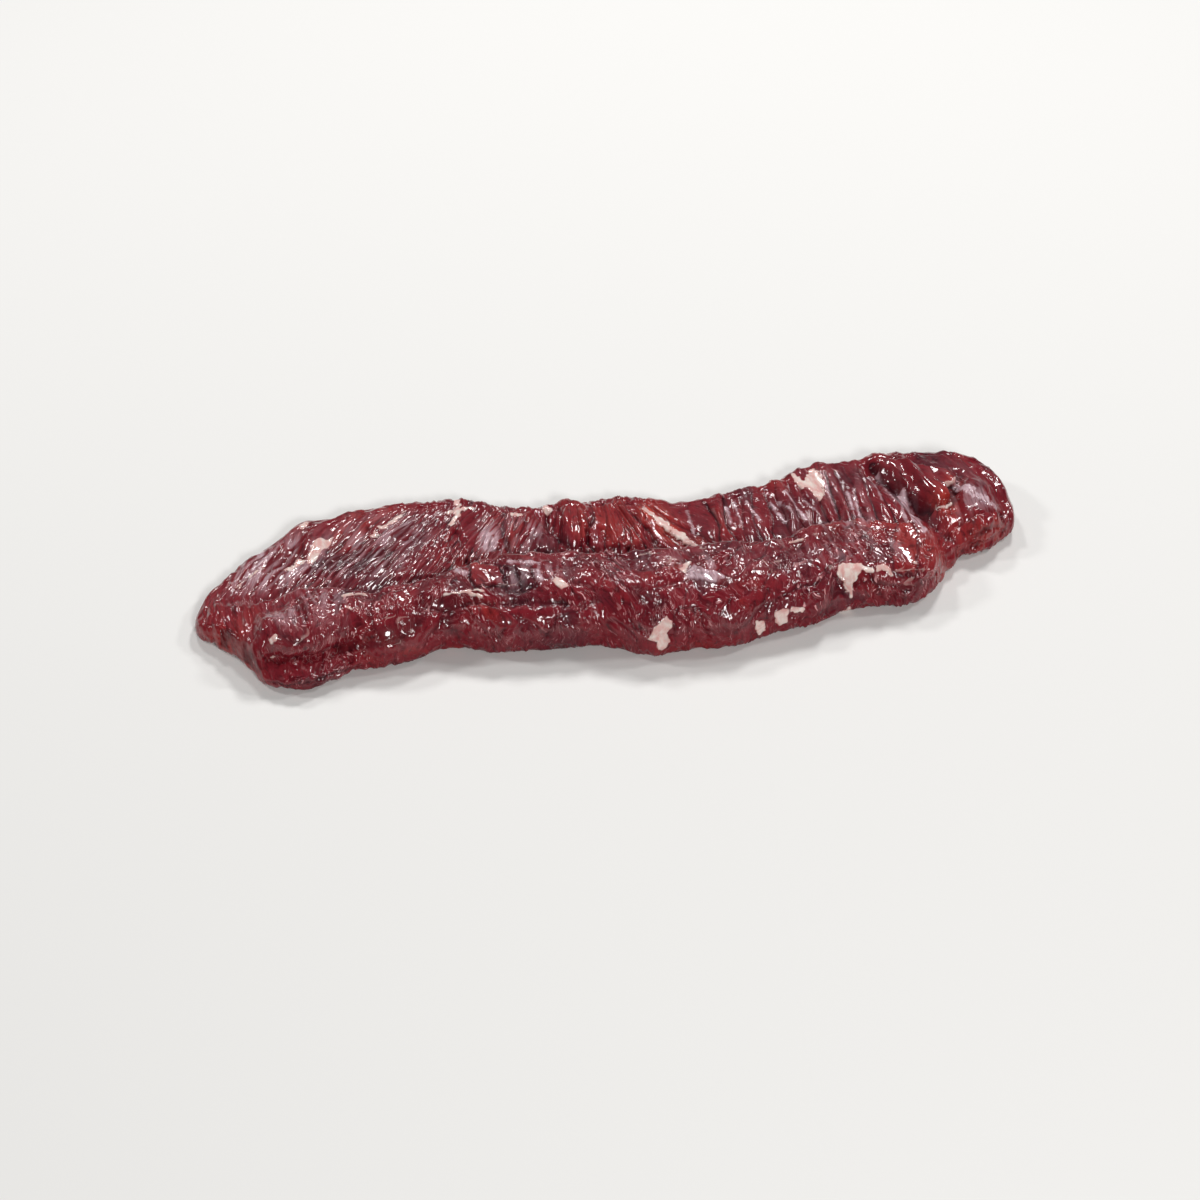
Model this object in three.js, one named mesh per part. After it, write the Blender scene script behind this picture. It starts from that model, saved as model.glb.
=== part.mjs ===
// Raw beef flank: one long flat cut, folded once along its length.
// The lower leaf lies flat. The front edge turns up and back over it as a
// narrower upper leaf, whose free edge shows as a lengthwise crest.
// Units are millimetres. X runs along the meat, Y away from the fold, Z up.

import * as THREE from 'three';

// Ends of the cut along X
const LEFT_TIP_X = -170.5;
const RIGHT_TIP_X = 170.5;

// Back edge of the lower leaf, as [x, y]
const BACK_EDGE = [
  [-170.5, 1.5], [-164, 11], [-153, 24], [-138, 37], [-119, 48], [-90, 51],
  [-62, 51], [-33, 40], [5, 39], [42, 33], [70, 38], [98, 45], [130, 45],
  [148, 39.5], [157, 34.5], [164, 28], [168.5, 21], [170.5, 15],
];

// Foremost line of the fold, and of the lower leaf where the upper one ends
const FRONT_EDGE = [
  [-170.5, -8.5], [-162, -15], [-152, -30], [-146, -40], [-127, -43.5], [-110, -38],
  [-92, -38], [-73, -33], [-50, -40], [-20, -42], [5, -51], [34, -51.5], [62, -46.5],
  [74, -45], [84, -40], [110, -40], [120, -37], [127, -31], [133, -23], [140, -18], [150, -16],
  [161, -11], [168, -2], [170.5, 3],
];

// Free edge of the upper leaf: the crest that shows against the lower leaf
const CREST_EDGE = [
  [-170.5, -4.5], [-160, -1], [-142, -4], [-120, -5], [-97, -11.5], [-72, -7],
  [-45, -2], [-22, -5], [10, -9], [50, -10.5], [70, -8.5], [80, -3], [97, -3],
  [112, -7], [121, -9], [127, -13], [133, -8], [140, -3], [150, -1], [170.5, 9],
];

// Height of the lower leaf along its middle
const LEAF_HEIGHT = [
  [-170.5, 7], [-155, 9], [-125, 10.5], [-70, 11.5], [0, 11], [60, 11.5], [100, 12.5],
  [130, 14], [150, 17], [164, 14.5], [170.5, 8],
];

// Height of the upper leaf at its ridge and at its free edge
const RIDGE_HEIGHT = [
  [-170.5, 7.5], [-160, 11], [-145, 17], [-125, 21.5], [-90, 22], [-50, 23], [0, 24.5],
  [50, 23.5], [75, 21], [95, 18.5], [115, 18], [125, 17], [130, 12.5], [135, 11.5],
  [150, 14.5], [170.5, 8],
];
const CREST_HEIGHT = [
  [-170.5, 7.5], [-160, 10.5], [-142, 14.5], [-122, 20], [-80, 21.5], [0, 22.5],
  [50, 21.5], [75, 20.5], [100, 18.5], [117, 18], [126, 16.5], [130, 13.5], [135, 13],
  [150, 16], [170.5, 8],
];

// How round the fold is on top, measured back from the front line
const FOLD_ROUNDING = [
  [-170.5, 2], [-152, 5], [-140, 11], [-110, 13], [-60, 13], [0, 17], [60, 16], [90, 10],
  [121, 7], [150, 9], [170.5, 3],
];

// How far the fold leans back between its widest line and its top
const FOLD_LEAN = [
  [-170.5, 0], [-152, 2], [-140, 6], [-125, 8], [-104, 5], [-80, 2], [0, 3], [60, 3],
  [90, 1], [121, 0], [170.5, 0],
];

// The muscle fibres run across the lower leaf and fan out: how far along X each one has
// moved by the time it reaches the back edge
const FIBRE_SLANT = [
  [-170.5, 0], [-150, 14], [-135, 32], [-115, 44], [-85, 36], [-50, 18], [-20, 6], [0, 0],
  [25, -14], [45, -22], [70, -27], [100, -33], [122, -32], [140, -19], [155, -8], [170.5, 0],
];

// Front of the left end, where the two leaves gape like a mouth: distance behind the front
// line and height, by share of the way from the lower lip up to the ridge
const MOUTH_DEPTH = [
  [0, 0.4], [0.14, 3.5], [0.29, 9.5], [0.43, 8.2], [0.57, 9], [0.72, 11.5], [0.86, 15], [1, 19.5],
];
const MOUTH_HEIGHT = [
  [0, 6.4], [0.14, 8.4], [0.29, 9.4], [0.43, 12.6], [0.57, 16], [0.72, 19], [0.86, 21], [1, 21.8],
];
const MOUTH_SPAN = [-150, -141, -118, -102];

// Corner sizes of a section
const UNDER_FOLD_ROUNDING = 5;
const BACK_ROUNDING = 7;
const FREE_EDGE_ROUNDING = 4.5;
const SQUARENESS = 0.86;
const NARROW_WIDTH = 45;

// Shares of the height and of the width that set the round edges
const WIDEST_FOLD_SHARE = 0.36;
const WIDEST_BACK_SHARE = 0.36;
const FOOT_SHARE = 0.3;
const CREST_LIMIT_SHARE = 0.75;
const FOLD_ROUNDING_LIMIT = 0.55;
const FREE_EDGE_LIMIT = 0.3;

// The open crease under the upper leaf's free edge
const CREASE_GAP = 1.6;
const CREASE_DEPTH = 9;
const CREASE_ROOT = 1.5;
const CREASE_DEPTH_LIMIT = 0.45;

// The plain slope that takes the crease's place where the leaves have grown together
const SLOPE_REACH = 2.5;
const SLOPE_SHARE = 0.14;
const SLOPE_LIMIT = 0.35;

// Where along X the upper leaf lies loose on the lower one: it loosens between the first
// two places and ends between the last two
const LOOSE_SPAN = [-150, -138, 123, 128];

// How much lower the lower leaf is at its two edges than along its middle
const LEAF_CROWN = 0.16;

// Samples round one cross-section, region by region
const SAMPLES = {
  underside: 5, underFold: 3, fold: 7, ridge: 7, freeEdge: 5, creaseIn: 2, creaseOut: 2,
  lowerLeaf: 14, backEdge: 5,
};

// Sections along the cut, closer together round the places named here
const CROSS_SECTIONS = 98;
const CLOSER = [
  { at: LEFT_TIP_X, reach: 7, extra: 2.2 },
  { at: 126, reach: 6, extra: 2 },
  { at: RIGHT_TIP_X, reach: 6, extra: 2.2 },
];
const SPACING_STEPS = 2000;

// Relief: bundles of fibres across the lower leaf, fainter on the upper one, and soft swells
const BUNDLE_SPACING = 13.5;
const BUNDLE_HEIGHT = 0.75;
const FINE_BUNDLE_SPACING = 8.6;
const FINE_BUNDLE_HEIGHT = 0.5;
const UPPER_GRAIN = 0.35;
const MOUTH_GRAIN = 0.15;
const SWELL_LENGTH = 31;
const SWELL_HEIGHT = 0.7;
const BARE_END = 8;

// Valleys cut into the surface, from one point to another
const at = (x, y, z) => new THREE.Vector3(x, y, z);
const VALLEYS = [
  { from: at(116, 33, 13), to: at(127, 6, 13), width: 4.5, depth: 4.2 },
  { from: at(127, 6, 13), to: at(131, -5, 12), width: 4.5, depth: 2.4 },
  { from: at(149, 17, 16), to: at(140, 1, 15), width: 3.5, depth: 2 },
  { from: at(139, -20, 6), to: at(160, -12, 6), width: 2.5, depth: 1.4 },
  { from: at(-25, 26, 11), to: at(-15, 4, 11), width: 4, depth: 2 },
  { from: at(-15, 0, 12), to: at(28, -3, 12), width: 4.5, depth: 1.5 },
  { from: at(-84, -26, 22), to: at(-20, -35, 22), width: 5, depth: 1.4 },
  { from: at(2, -44, 17), to: at(10, -52, 11), width: 2.5, depth: 1.6 },
  { from: at(66, -12, 21), to: at(78, -40, 14), width: 4, depth: 1.8 },
  { from: at(-99, -8, 21), to: at(-104, -28, 19), width: 4, depth: 1.5 },
  { from: at(-118, 46, 10), to: at(-134, 20, 10), width: 3, depth: 1.8 },
  { from: at(-52, 44, 11), to: at(-56, 16, 11), width: 3.5, depth: 1.6 },
];

// Lobes that stand out of the surface
const LOBES = [
  { at: at(133, 22, 14), reach: at(8, 12, 8), height: 2.4 },
  { at: at(152, 6, 16), reach: at(13, 14, 12), height: 2 },
  { at: at(-8, 22, 11), reach: at(9, 12, 8), height: 2 },
  { at: at(12, 24, 11), reach: at(9, 12, 8), height: 1.4 },
  { at: at(-121, 38, 10), reach: at(6, 8, 6), height: 1.6 },
  { at: at(-128, -41, 3), reach: at(16, 6, 5), height: 1.6 },
  { at: at(-44, -14, 23), reach: at(14, 8, 8), height: 1.2 },
  { at: at(32, -20, 24), reach: at(16, 9, 8), height: 1.3 },
  { at: at(90, -26, 18), reach: at(12, 10, 8), height: 1.1 },
];

// Smooth curve through [x, value] stations
function along(stations, x) {
  const last = stations.length - 1;
  if (x <= stations[0][0]) return stations[0][1];
  if (x >= stations[last][0]) return stations[last][1];
  let i = 0;
  while (x > stations[i + 1][0]) i += 1;
  const slopeAt = (k) => {
    if (k <= 0 || k >= last) {
      const a = Math.min(Math.max(k, 1), last) - 1;
      return (stations[a + 1][1] - stations[a][1]) / (stations[a + 1][0] - stations[a][0]);
    }
    const before = (stations[k][1] - stations[k - 1][1]) / (stations[k][0] - stations[k - 1][0]);
    const after = (stations[k + 1][1] - stations[k][1]) / (stations[k + 1][0] - stations[k][0]);
    return before * after <= 0 ? 0 : (2 * before * after) / (before + after);
  };
  const [x0, v0] = stations[i];
  const [x1, v1] = stations[i + 1];
  const width = x1 - x0;
  const u = (x - x0) / width;
  const rise = u * u * (3 - 2 * u);
  return v0 + (v1 - v0) * rise
    + width * u * (1 - u) * ((1 - u) * slopeAt(i) - u * slopeAt(i + 1));
}

function smooth(from, to, x) {
  const u = Math.min(Math.max((x - from) / (to - from), 0), 1);
  return u * u * (3 - 2 * u);
}

function mix(a, b, u) {
  return a + (b - a) * u;
}

// 1 between the two middle places of a span, falling to 0 at its outer ones
function within([start, full, wane, end], x) {
  return smooth(start, full, x) * (1 - smooth(wane, end, x));
}

// Height of the lower leaf's upper face
function leafTop(x, y) {
  const back = along(BACK_EDGE, x);
  const front = along(FRONT_EDGE, x);
  const across = (2 * y - back - front) / (back - front);
  return along(LEAF_HEIGHT, x) * (1 - LEAF_CROWN * across * across);
}

// Points of one region of a section, each placed by its share of the way through the region
function sampled(count, place) {
  return Array.from({ length: count }, (_, k) => {
    const [x, y, z, grain] = place(k / count);
    return { x, y, z, grain };
  });
}

// The sizes of the section that starts at one place along the fold. It is upright through
// the fold and the upper leaf, and follows a fibre across the lower leaf to its back edge
function sizesAt(x) {
  const backX = x + along(FIBRE_SLANT, x);
  const front = along(FRONT_EDGE, x);
  const width = along(BACK_EDGE, x) - front;
  const narrow = Math.min(1, width / NARROW_WIDTH);
  const crest = Math.min(along(CREST_EDGE, x), front + CREST_LIMIT_SHARE * width);
  const edgeRound = Math.min(FREE_EDGE_ROUNDING, FREE_EDGE_LIMIT * (crest - front));
  const loose = within(LOOSE_SPAN, x);
  return {
    x, backX, front, width, crest, edgeRound, loose,
    back: along(BACK_EDGE, backX),
    ridgeTop: along(RIDGE_HEIGHT, x),
    crestTop: along(CREST_HEIGHT, x),
    underRound: UNDER_FOLD_ROUNDING * narrow,
    foldRound: Math.min(along(FOLD_ROUNDING, x), FOLD_ROUNDING_LIMIT * (crest - front)),
    lean: along(FOLD_LEAN, x) * narrow,
    backRound: BACK_ROUNDING * narrow,
    gape: within(MOUTH_SPAN, x),
    shoulder: crest - edgeRound,
    upperGrain: mix(1, UPPER_GRAIN, loose),
  };
}

function underside({ x, backX, back, front, backRound, underRound }) {
  const underBack = back - backRound * (1 - FOOT_SHARE);
  return sampled(SAMPLES.underside, (u) => [
    mix(backX, x, u), mix(underBack, front + underRound, u), 0, 0,
  ]);
}

function underFold({ x, front, underRound, ridgeTop, upperGrain }) {
  return sampled(SAMPLES.underFold, (u) => {
    const turn = (u * Math.PI) / 2;
    return [
      x, front + underRound * (1 - Math.sin(turn) ** SQUARENESS),
      WIDEST_FOLD_SHARE * ridgeTop * (1 - Math.cos(turn) ** SQUARENESS), u * upperGrain,
    ];
  });
}

// The fold's outside, from its widest line up to the ridge, with the mouth at the left end
function foldOutside({ x, front, foldRound, lean, ridgeTop, gape, upperGrain }) {
  return sampled(SAMPLES.fold, (u) => {
    const turn = (u * Math.PI) / 2;
    const behind = foldRound * (1 - Math.cos(turn) ** SQUARENESS) + lean * u;
    const height = mix(WIDEST_FOLD_SHARE, 1, Math.sin(turn) ** SQUARENESS) * ridgeTop;
    return [
      x, front + mix(behind, along(MOUTH_DEPTH, u), gape),
      mix(height, along(MOUTH_HEIGHT, u), gape), mix(upperGrain, MOUTH_GRAIN, gape),
    ];
  });
}

function ridge({ x, front, foldRound, lean, gape, shoulder, ridgeTop, crestTop, upperGrain }) {
  const start = front + mix(foldRound + lean, along(MOUTH_DEPTH, 1), gape);
  return sampled(SAMPLES.ridge, (u) => [
    x, mix(start, shoulder, u), mix(ridgeTop, crestTop, smooth(0, 1, u)), upperGrain,
  ]);
}

// How far behind the crest the plain slope ends
function slopeReach({ back, crest, width }) {
  return Math.min(Math.max(SLOPE_REACH, SLOPE_SHARE * width), SLOPE_LIMIT * (back - crest));
}

// The free edge with the crease under it, turned in as a lip where the leaf is loose
function lip({ x, front, crest, crestTop, edgeRound, shoulder }) {
  const depth = Math.min(CREASE_DEPTH, CREASE_DEPTH_LIMIT * (crest - front));
  const roof = leafTop(x, crest) + CREASE_GAP;
  const middle = (crestTop + roof) / 2;
  const half = (crestTop - roof) / 2;
  return [
    ...sampled(SAMPLES.freeEdge, (u) => {
      const turn = Math.PI * (0.5 - u);
      return [x, shoulder + edgeRound * Math.cos(turn), middle + half * Math.sin(turn), 0];
    }),
    ...sampled(SAMPLES.creaseIn, (u) => {
      const y = mix(shoulder, crest - depth, u);
      return [x, y, leafTop(x, y) + CREASE_GAP, 0];
    }),
    { x, y: crest - depth - CREASE_ROOT, z: leafTop(x, crest - depth) + CREASE_GAP / 2 },
    ...sampled(SAMPLES.creaseOut, (u) => {
      const y = mix(crest - depth, crest, u);
      return [x, y, leafTop(x, y), 0];
    }),
  ];
}

function freeEdge(sizes) {
  const { x, crest, crestTop, shoulder, loose, upperGrain } = sizes;
  const turned = lip(sizes);
  const slopeEnd = crest + slopeReach(sizes);
  return turned.map((point, k) => {
    const u = k / turned.length;
    const y = mix(shoulder, slopeEnd, u);
    const z = mix(crestTop, leafTop(x, y), smooth(0, 1, u));
    const outside = k < SAMPLES.freeEdge - 1;
    return {
      x, y: mix(y, point.y, loose), z: mix(z, point.z, loose),
      grain: outside ? upperGrain : 1 - loose,
    };
  });
}

function lowerLeaf(sizes) {
  const { x, backX, back, crest, backRound, loose } = sizes;
  const start = crest + slopeReach(sizes) * (1 - loose);
  return sampled(SAMPLES.lowerLeaf, (u) => {
    const pointX = mix(x, backX, u);
    const y = mix(start, back - backRound, u);
    return [pointX, y, leafTop(pointX, y), u === 0 ? 1 - loose : 1];
  });
}

// The back edge turns over and runs in under itself to the flat underside
function backEdge({ backX, back, backRound }) {
  const centre = back - backRound;
  const top = leafTop(backX, centre);
  const low = WIDEST_BACK_SHARE * top;
  return sampled(SAMPLES.backEdge, (u) => {
    const turn = Math.PI * mix(0.5, -0.25, u);
    const rise = Math.sin(turn);
    const z = rise >= 0 ? mix(low, top, rise ** SQUARENESS) : low * (1 + rise);
    return [backX, centre + backRound * Math.cos(turn) ** SQUARENESS, z, 1];
  });
}

// One closed section, from the back of the underside forward, up the fold and back again
function crossSection(x) {
  const sizes = sizesAt(x);
  return [
    underside, underFold, foldOutside, ridge, freeEdge, lowerLeaf, backEdge,
  ].flatMap((region) => region(sizes));
}

// Bundles of fibres: a row is the place along the fold where the fibre starts
function bundles(row, y) {
  const wander = 1.4 * Math.sin(row / 17 + y / 40) + 0.6 * Math.sin(y / 9 + row / 31);
  const broad = Math.sin((2 * Math.PI * row) / BUNDLE_SPACING + wander);
  const fine = Math.sin((2 * Math.PI * row) / FINE_BUNDLE_SPACING + 1.7 * wander);
  const uneven = 0.95 + 0.3 * Math.sin(row / 9 + 1.5 * Math.sin(row / 21));
  return uneven * (BUNDLE_HEIGHT * broad + FINE_BUNDLE_HEIGHT * fine);
}

function swells(x, y) {
  const wave = Math.sin((2 * Math.PI * x) / SWELL_LENGTH + 0.05 * y);
  return SWELL_HEIGHT * wave * Math.cos(y / 13 + x / 47);
}

function valleys(point) {
  let depth = 0;
  for (const valley of VALLEYS) {
    const nearest = new THREE.Line3(valley.from, valley.to)
      .closestPointToPoint(point, true, new THREE.Vector3());
    depth += valley.depth * Math.exp(-((nearest.distanceTo(point) / valley.width) ** 2));
  }
  return depth;
}

function lobes(point) {
  let height = 0;
  for (const lobe of LOBES) {
    const away = point.clone().sub(lobe.at).divide(lobe.reach);
    height += lobe.height * Math.exp(-away.lengthSq());
  }
  return height;
}

// How far the relief lifts a surface point out of the plain shape
function relief(row, { x, y, z, grain }) {
  const point = new THREE.Vector3(x, y, z);
  const ends = within([LEFT_TIP_X, LEFT_TIP_X + BARE_END, RIGHT_TIP_X - BARE_END, RIGHT_TIP_X], row);
  const lift = grain * bundles(row, y) + swells(x, y) + lobes(point) - valleys(point);
  return ends * Math.min(1, 4 * grain) * lift;
}

// Places of the sections along the fold, by adding up how close they should lie
function sectionPlaces() {
  const closeness = (x) => 1 + CLOSER.reduce(
    (sum, { at, reach, extra }) => sum + extra * Math.exp(-(((x - at) / reach) ** 2)), 0,
  );
  const placeAt = (share) => mix(LEFT_TIP_X, RIGHT_TIP_X, share);
  const sums = [0];
  for (let k = 0; k < SPACING_STEPS; k += 1) {
    sums.push(sums[k] + closeness(placeAt((k + 0.5) / SPACING_STEPS)));
  }
  return Array.from({ length: CROSS_SECTIONS }, (_, n) => {
    const wanted = (n / (CROSS_SECTIONS - 1)) * sums[SPACING_STEPS];
    const above = Math.max(1, sums.findIndex((sum) => sum >= wanted));
    const part = (wanted - sums[above - 1]) / (sums[above] - sums[above - 1]);
    return placeAt((above - 1 + part) / SPACING_STEPS);
  });
}

// A section with its relief, pushed out along the plain section's own normals
function reliefSection(x) {
  const plain = crossSection(x);
  return plain.map((here, k) => {
    const before = plain[(k + plain.length - 1) % plain.length];
    const after = plain[(k + 1) % plain.length];
    const rise = after.z - before.z;
    const run = after.y - before.y;
    const lift = relief(x, here) / Math.hypot(rise, run);
    return new THREE.Vector3(here.x, here.y - rise * lift, Math.max(here.z + run * lift, 0));
  });
}

// Closed skin over the sections, with a fan over each end one
function meatGeometry() {
  const rings = sectionPlaces().map(reliefSection);
  const count = rings[0].length;
  const corner = (ring, k) => ring * count + (k % count);
  const faces = [];
  for (let ring = 0; ring + 1 < rings.length; ring += 1) {
    for (let k = 0; k < count; k += 1) {
      faces.push(corner(ring, k), corner(ring + 1, k + 1), corner(ring, k + 1));
      faces.push(corner(ring, k), corner(ring + 1, k), corner(ring + 1, k + 1));
    }
  }
  const centreOf = (ring) => ring.reduce((sum, p) => sum.add(p), new THREE.Vector3())
    .divideScalar(count);
  const last = rings.length - 1;
  const leftCentre = rings.length * count;
  for (let k = 0; k < count; k += 1) {
    faces.push(leftCentre, corner(0, k), corner(0, k + 1));
    faces.push(leftCentre + 1, corner(last, k + 1), corner(last, k));
  }
  const points = [...rings.flat(), centreOf(rings[0]), centreOf(rings[last])];
  const geometry = new THREE.BufferGeometry().setFromPoints(points);
  geometry.setIndex(faces);
  geometry.computeBoundingBox();
  const box = geometry.boundingBox;
  const middle = box.getCenter(new THREE.Vector3());
  geometry.translate(-middle.x, -middle.y, -box.min.z);
  geometry.computeVertexNormals();
  return geometry;
}

const meat = new THREE.MeshStandardMaterial({ color: 0x7c262b, roughness: 0.42, metalness: 0 });
const flank = new THREE.Mesh(meatGeometry(), meat);
flank.name = 'beef_flank';

const group = new THREE.Group();
group.add(flank);

export default group;
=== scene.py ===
# Raw beef flank: a long cut folded once along its length, with its moist muscle bundles,
# valleys, silvery membrane and cream fat. Lengths are in millimetres until the mesh is made.

import math
from types import SimpleNamespace

import bpy
import numpy as np
from bpy.props import FloatProperty, FloatVectorProperty, IntProperty, PointerProperty
from mathutils import Matrix, Vector


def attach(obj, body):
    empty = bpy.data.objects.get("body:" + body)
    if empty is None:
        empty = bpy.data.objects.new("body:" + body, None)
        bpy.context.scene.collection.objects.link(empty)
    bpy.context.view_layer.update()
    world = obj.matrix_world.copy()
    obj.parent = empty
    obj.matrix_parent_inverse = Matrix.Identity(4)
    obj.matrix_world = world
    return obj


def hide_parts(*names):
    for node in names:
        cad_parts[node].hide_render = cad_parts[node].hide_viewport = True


bl_info = {
    "name": "Raw Beef Flank",
    "version": (1, 0, 0),
    "blender": (4, 5, 0),
    "location": "View3D > Sidebar > Beef",
    "description": "Makes a folded raw beef flank and the stage it is shown on",
    "category": "Add Mesh",
}

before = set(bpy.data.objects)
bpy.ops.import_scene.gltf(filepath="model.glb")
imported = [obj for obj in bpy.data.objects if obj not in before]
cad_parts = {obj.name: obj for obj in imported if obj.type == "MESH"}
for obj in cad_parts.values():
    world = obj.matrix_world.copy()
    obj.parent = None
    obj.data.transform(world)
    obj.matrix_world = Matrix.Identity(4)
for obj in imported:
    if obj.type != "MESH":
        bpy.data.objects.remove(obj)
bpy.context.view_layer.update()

MM = 0.001
PIECE = "beef_flank_meat"

# Ends of the cut along X, and where the plain shape's middle lies across it
LEFT_TIP_X = -170.5
RIGHT_TIP_X = 170.5
MIDDLE_Y = 0.1153

# Edges of the lower leaf, the fold's front line and the upper leaf's crest, as [x, y]
BACK_EDGE = [
    [-170.5, 1.5], [-164, 11], [-153, 24], [-138, 37], [-119, 48], [-90, 51],
    [-62, 51], [-33, 40], [5, 39], [42, 33], [70, 38], [98, 45], [130, 45],
    [148, 39.5], [157, 34.5], [164, 28], [168.5, 21], [170.5, 15],
]
FRONT_EDGE = [
    [-170.5, -8.5], [-162, -15], [-152, -30], [-146, -40], [-127, -43.5], [-110, -38],
    [-92, -38], [-73, -33], [-50, -40], [-20, -42], [5, -51], [34, -51.5], [62, -46.5],
    [74, -45], [84, -40], [110, -40], [120, -37], [127, -31], [133, -23], [140, -18],
    [150, -16], [161, -11], [168, -2], [170.5, 3],
]
CREST_EDGE = [
    [-170.5, -4.5], [-160, -1], [-142, -4], [-120, -5], [-97, -11.5], [-72, -7],
    [-45, -2], [-22, -5], [10, -9], [50, -10.5], [70, -8.5], [80, -3], [97, -3],
    [112, -7], [121, -9], [127, -13], [133, -8], [140, -3], [150, -1], [170.5, 9],
]

# Heights of the lower leaf, of the fold's ridge and of the crest, as [x, z]
LEAF_HEIGHT = [
    [-170.5, 7], [-155, 9], [-125, 10.5], [-70, 11.5], [0, 11], [60, 11.5], [100, 12.5],
    [130, 14], [150, 17], [164, 14.5], [170.5, 8],
]
RIDGE_HEIGHT = [
    [-170.5, 7.5], [-160, 11], [-145, 17], [-125, 21.5], [-90, 22], [-50, 23], [0, 24.5],
    [50, 23.5], [75, 21], [95, 18.5], [115, 18], [125, 17], [130, 12.5], [135, 11.5],
    [150, 14.5], [170.5, 8],
]
CREST_HEIGHT = [
    [-170.5, 7.5], [-160, 10.5], [-142, 14.5], [-122, 20], [-80, 21.5], [0, 22.5],
    [50, 21.5], [75, 20.5], [100, 18.5], [117, 18], [126, 16.5], [130, 13.5], [135, 13],
    [150, 16], [170.5, 8],
]

# How round the fold is on top, how far it leans back, and how the fibres fan out
FOLD_ROUNDING = [
    [-170.5, 2], [-152, 5], [-140, 11], [-110, 13], [-60, 13], [0, 17], [60, 16],
    [90, 10], [121, 7], [150, 9], [170.5, 3],
]
FOLD_LEAN = [
    [-170.5, 0], [-152, 2], [-140, 6], [-125, 8], [-104, 5], [-80, 2], [0, 3], [60, 3],
    [90, 1], [121, 0], [170.5, 0],
]
FIBRE_SLANT = [
    [-170.5, 0], [-150, 14], [-135, 32], [-115, 44], [-85, 36], [-50, 18], [-20, 6],
    [0, 0], [25, -14], [45, -22], [70, -27], [100, -33], [122, -32], [140, -19],
    [155, -8], [170.5, 0],
]

# The gaping front of the left end: distance behind the front line and height, by share
MOUTH_DEPTH = [
    [0, 0.4], [0.14, 3.5], [0.29, 9.5], [0.43, 8.2], [0.57, 9], [0.72, 11.5], [0.86, 15],
    [1, 19.5],
]
MOUTH_HEIGHT = [
    [0, 6.4], [0.14, 8.4], [0.29, 9.4], [0.43, 12.6], [0.57, 16], [0.72, 19], [0.86, 21],
    [1, 21.8],
]
MOUTH_SPAN = [-150, -141, -118, -102]
LOOSE_SPAN = [-150, -138, 123, 128]

# Corner sizes and shares of a cross-section
UNDER_FOLD_ROUNDING = 5
BACK_ROUNDING = 7
FREE_EDGE_ROUNDING = 4.5
SQUARENESS = 0.86
NARROW_WIDTH = 45
WIDEST_FOLD_SHARE = 0.36
WIDEST_BACK_SHARE = 0.36
FOOT_SHARE = 0.3
CREST_LIMIT_SHARE = 0.75
FOLD_ROUNDING_LIMIT = 0.55
FREE_EDGE_LIMIT = 0.3
CREASE_GAP = 1.6
CREASE_DEPTH = 9
CREASE_ROOT = 1.5
CREASE_DEPTH_LIMIT = 0.45
SLOPE_REACH = 2.5
SLOPE_SHARE = 0.14
SLOPE_LIMIT = 0.35
LEAF_CROWN = 0.16

# Samples round one cross-section, region by region
SAMPLES = {
    "underside": 26, "under_fold": 22, "fold": 60, "ridge": 64, "free_edge": 26,
    "crease_in": 8, "crease_root": 1, "crease_out": 8, "lower_leaf": 142, "back_edge": 34,
}

# Regions of a cross-section that belong together
FRONT = ("under_fold", "fold")
UPPER = FRONT + ("ridge", "free_edge")
CREASE = ("crease_in", "crease_root", "crease_out")
BEHIND = ("lower_leaf", "back_edge")

# Broad relief: bundles across the leaves and soft swells
BUNDLE_SPACING = 13.5
BUNDLE_HEIGHT = 0.75
FINE_BUNDLE_SPACING = 8.6
FINE_BUNDLE_HEIGHT = 0.5
UPPER_GRAIN = 0.35
MOUTH_GRAIN = 0.15
SWELL_LENGTH = 31
SWELL_HEIGHT = 0.7
BARE_END = 5
TIP_LENGTH = 4
TIP_SHARE = 0.3
TIP_MIDDLE_SHARE = 0.35

# Share of the broad bundles that shows along X
BROAD_SHARE = [[-170.5, 0.4], [-60, 0.5], [-10, 0.9], [170.5, 0.9]]

# Valleys as (from, to, width, depth), and lobes as (middle, reach, height)
VALLEYS = [
    ((116, 33, 13), (127, 6, 13), 4.5, 4.2),
    ((127, 6, 13), (131, -5, 12), 4.5, 2.4),
    ((149, 17, 16), (140, 1, 15), 3.5, 2),
    ((139, -20, 6), (160, -12, 6), 2.5, 1.4),
    ((-25, 26, 11), (-15, 4, 11), 4, 2),
    ((-15, 0, 12), (28, -3, 12), 4.5, 1.5),
    ((-84, -26, 22), (-20, -35, 22), 5, 1.4),
    ((2, -44, 17), (10, -52, 11), 2.5, 1.6),
    ((66, -12, 21), (78, -40, 14), 4, 1.8),
    ((-99, -8, 21), (-104, -28, 19), 4, 1.5),
    ((-118, 46, 10), (-134, 20, 10), 3, 1.8),
    ((-52, 44, 11), (-56, 16, 11), 3.5, 1.6),
]
LOBES = [
    ((133, 22, 14), (8, 12, 8), 2.4),
    ((152, 6, 16), (13, 14, 12), 2),
    ((-8, 22, 11), (9, 12, 8), 2),
    ((12, 24, 11), (9, 12, 8), 1.4),
    ((-121, 38, 10), (6, 8, 6), 1.6),
    ((-128, -41, 3), (16, 6, 5), 1.6),
    ((-44, -14, 23), (14, 8, 8), 1.2),
    ((32, -20, 24), (16, 9, 8), 1.3),
    ((90, -26, 18), (12, 10, 8), 1.1),
]

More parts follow.
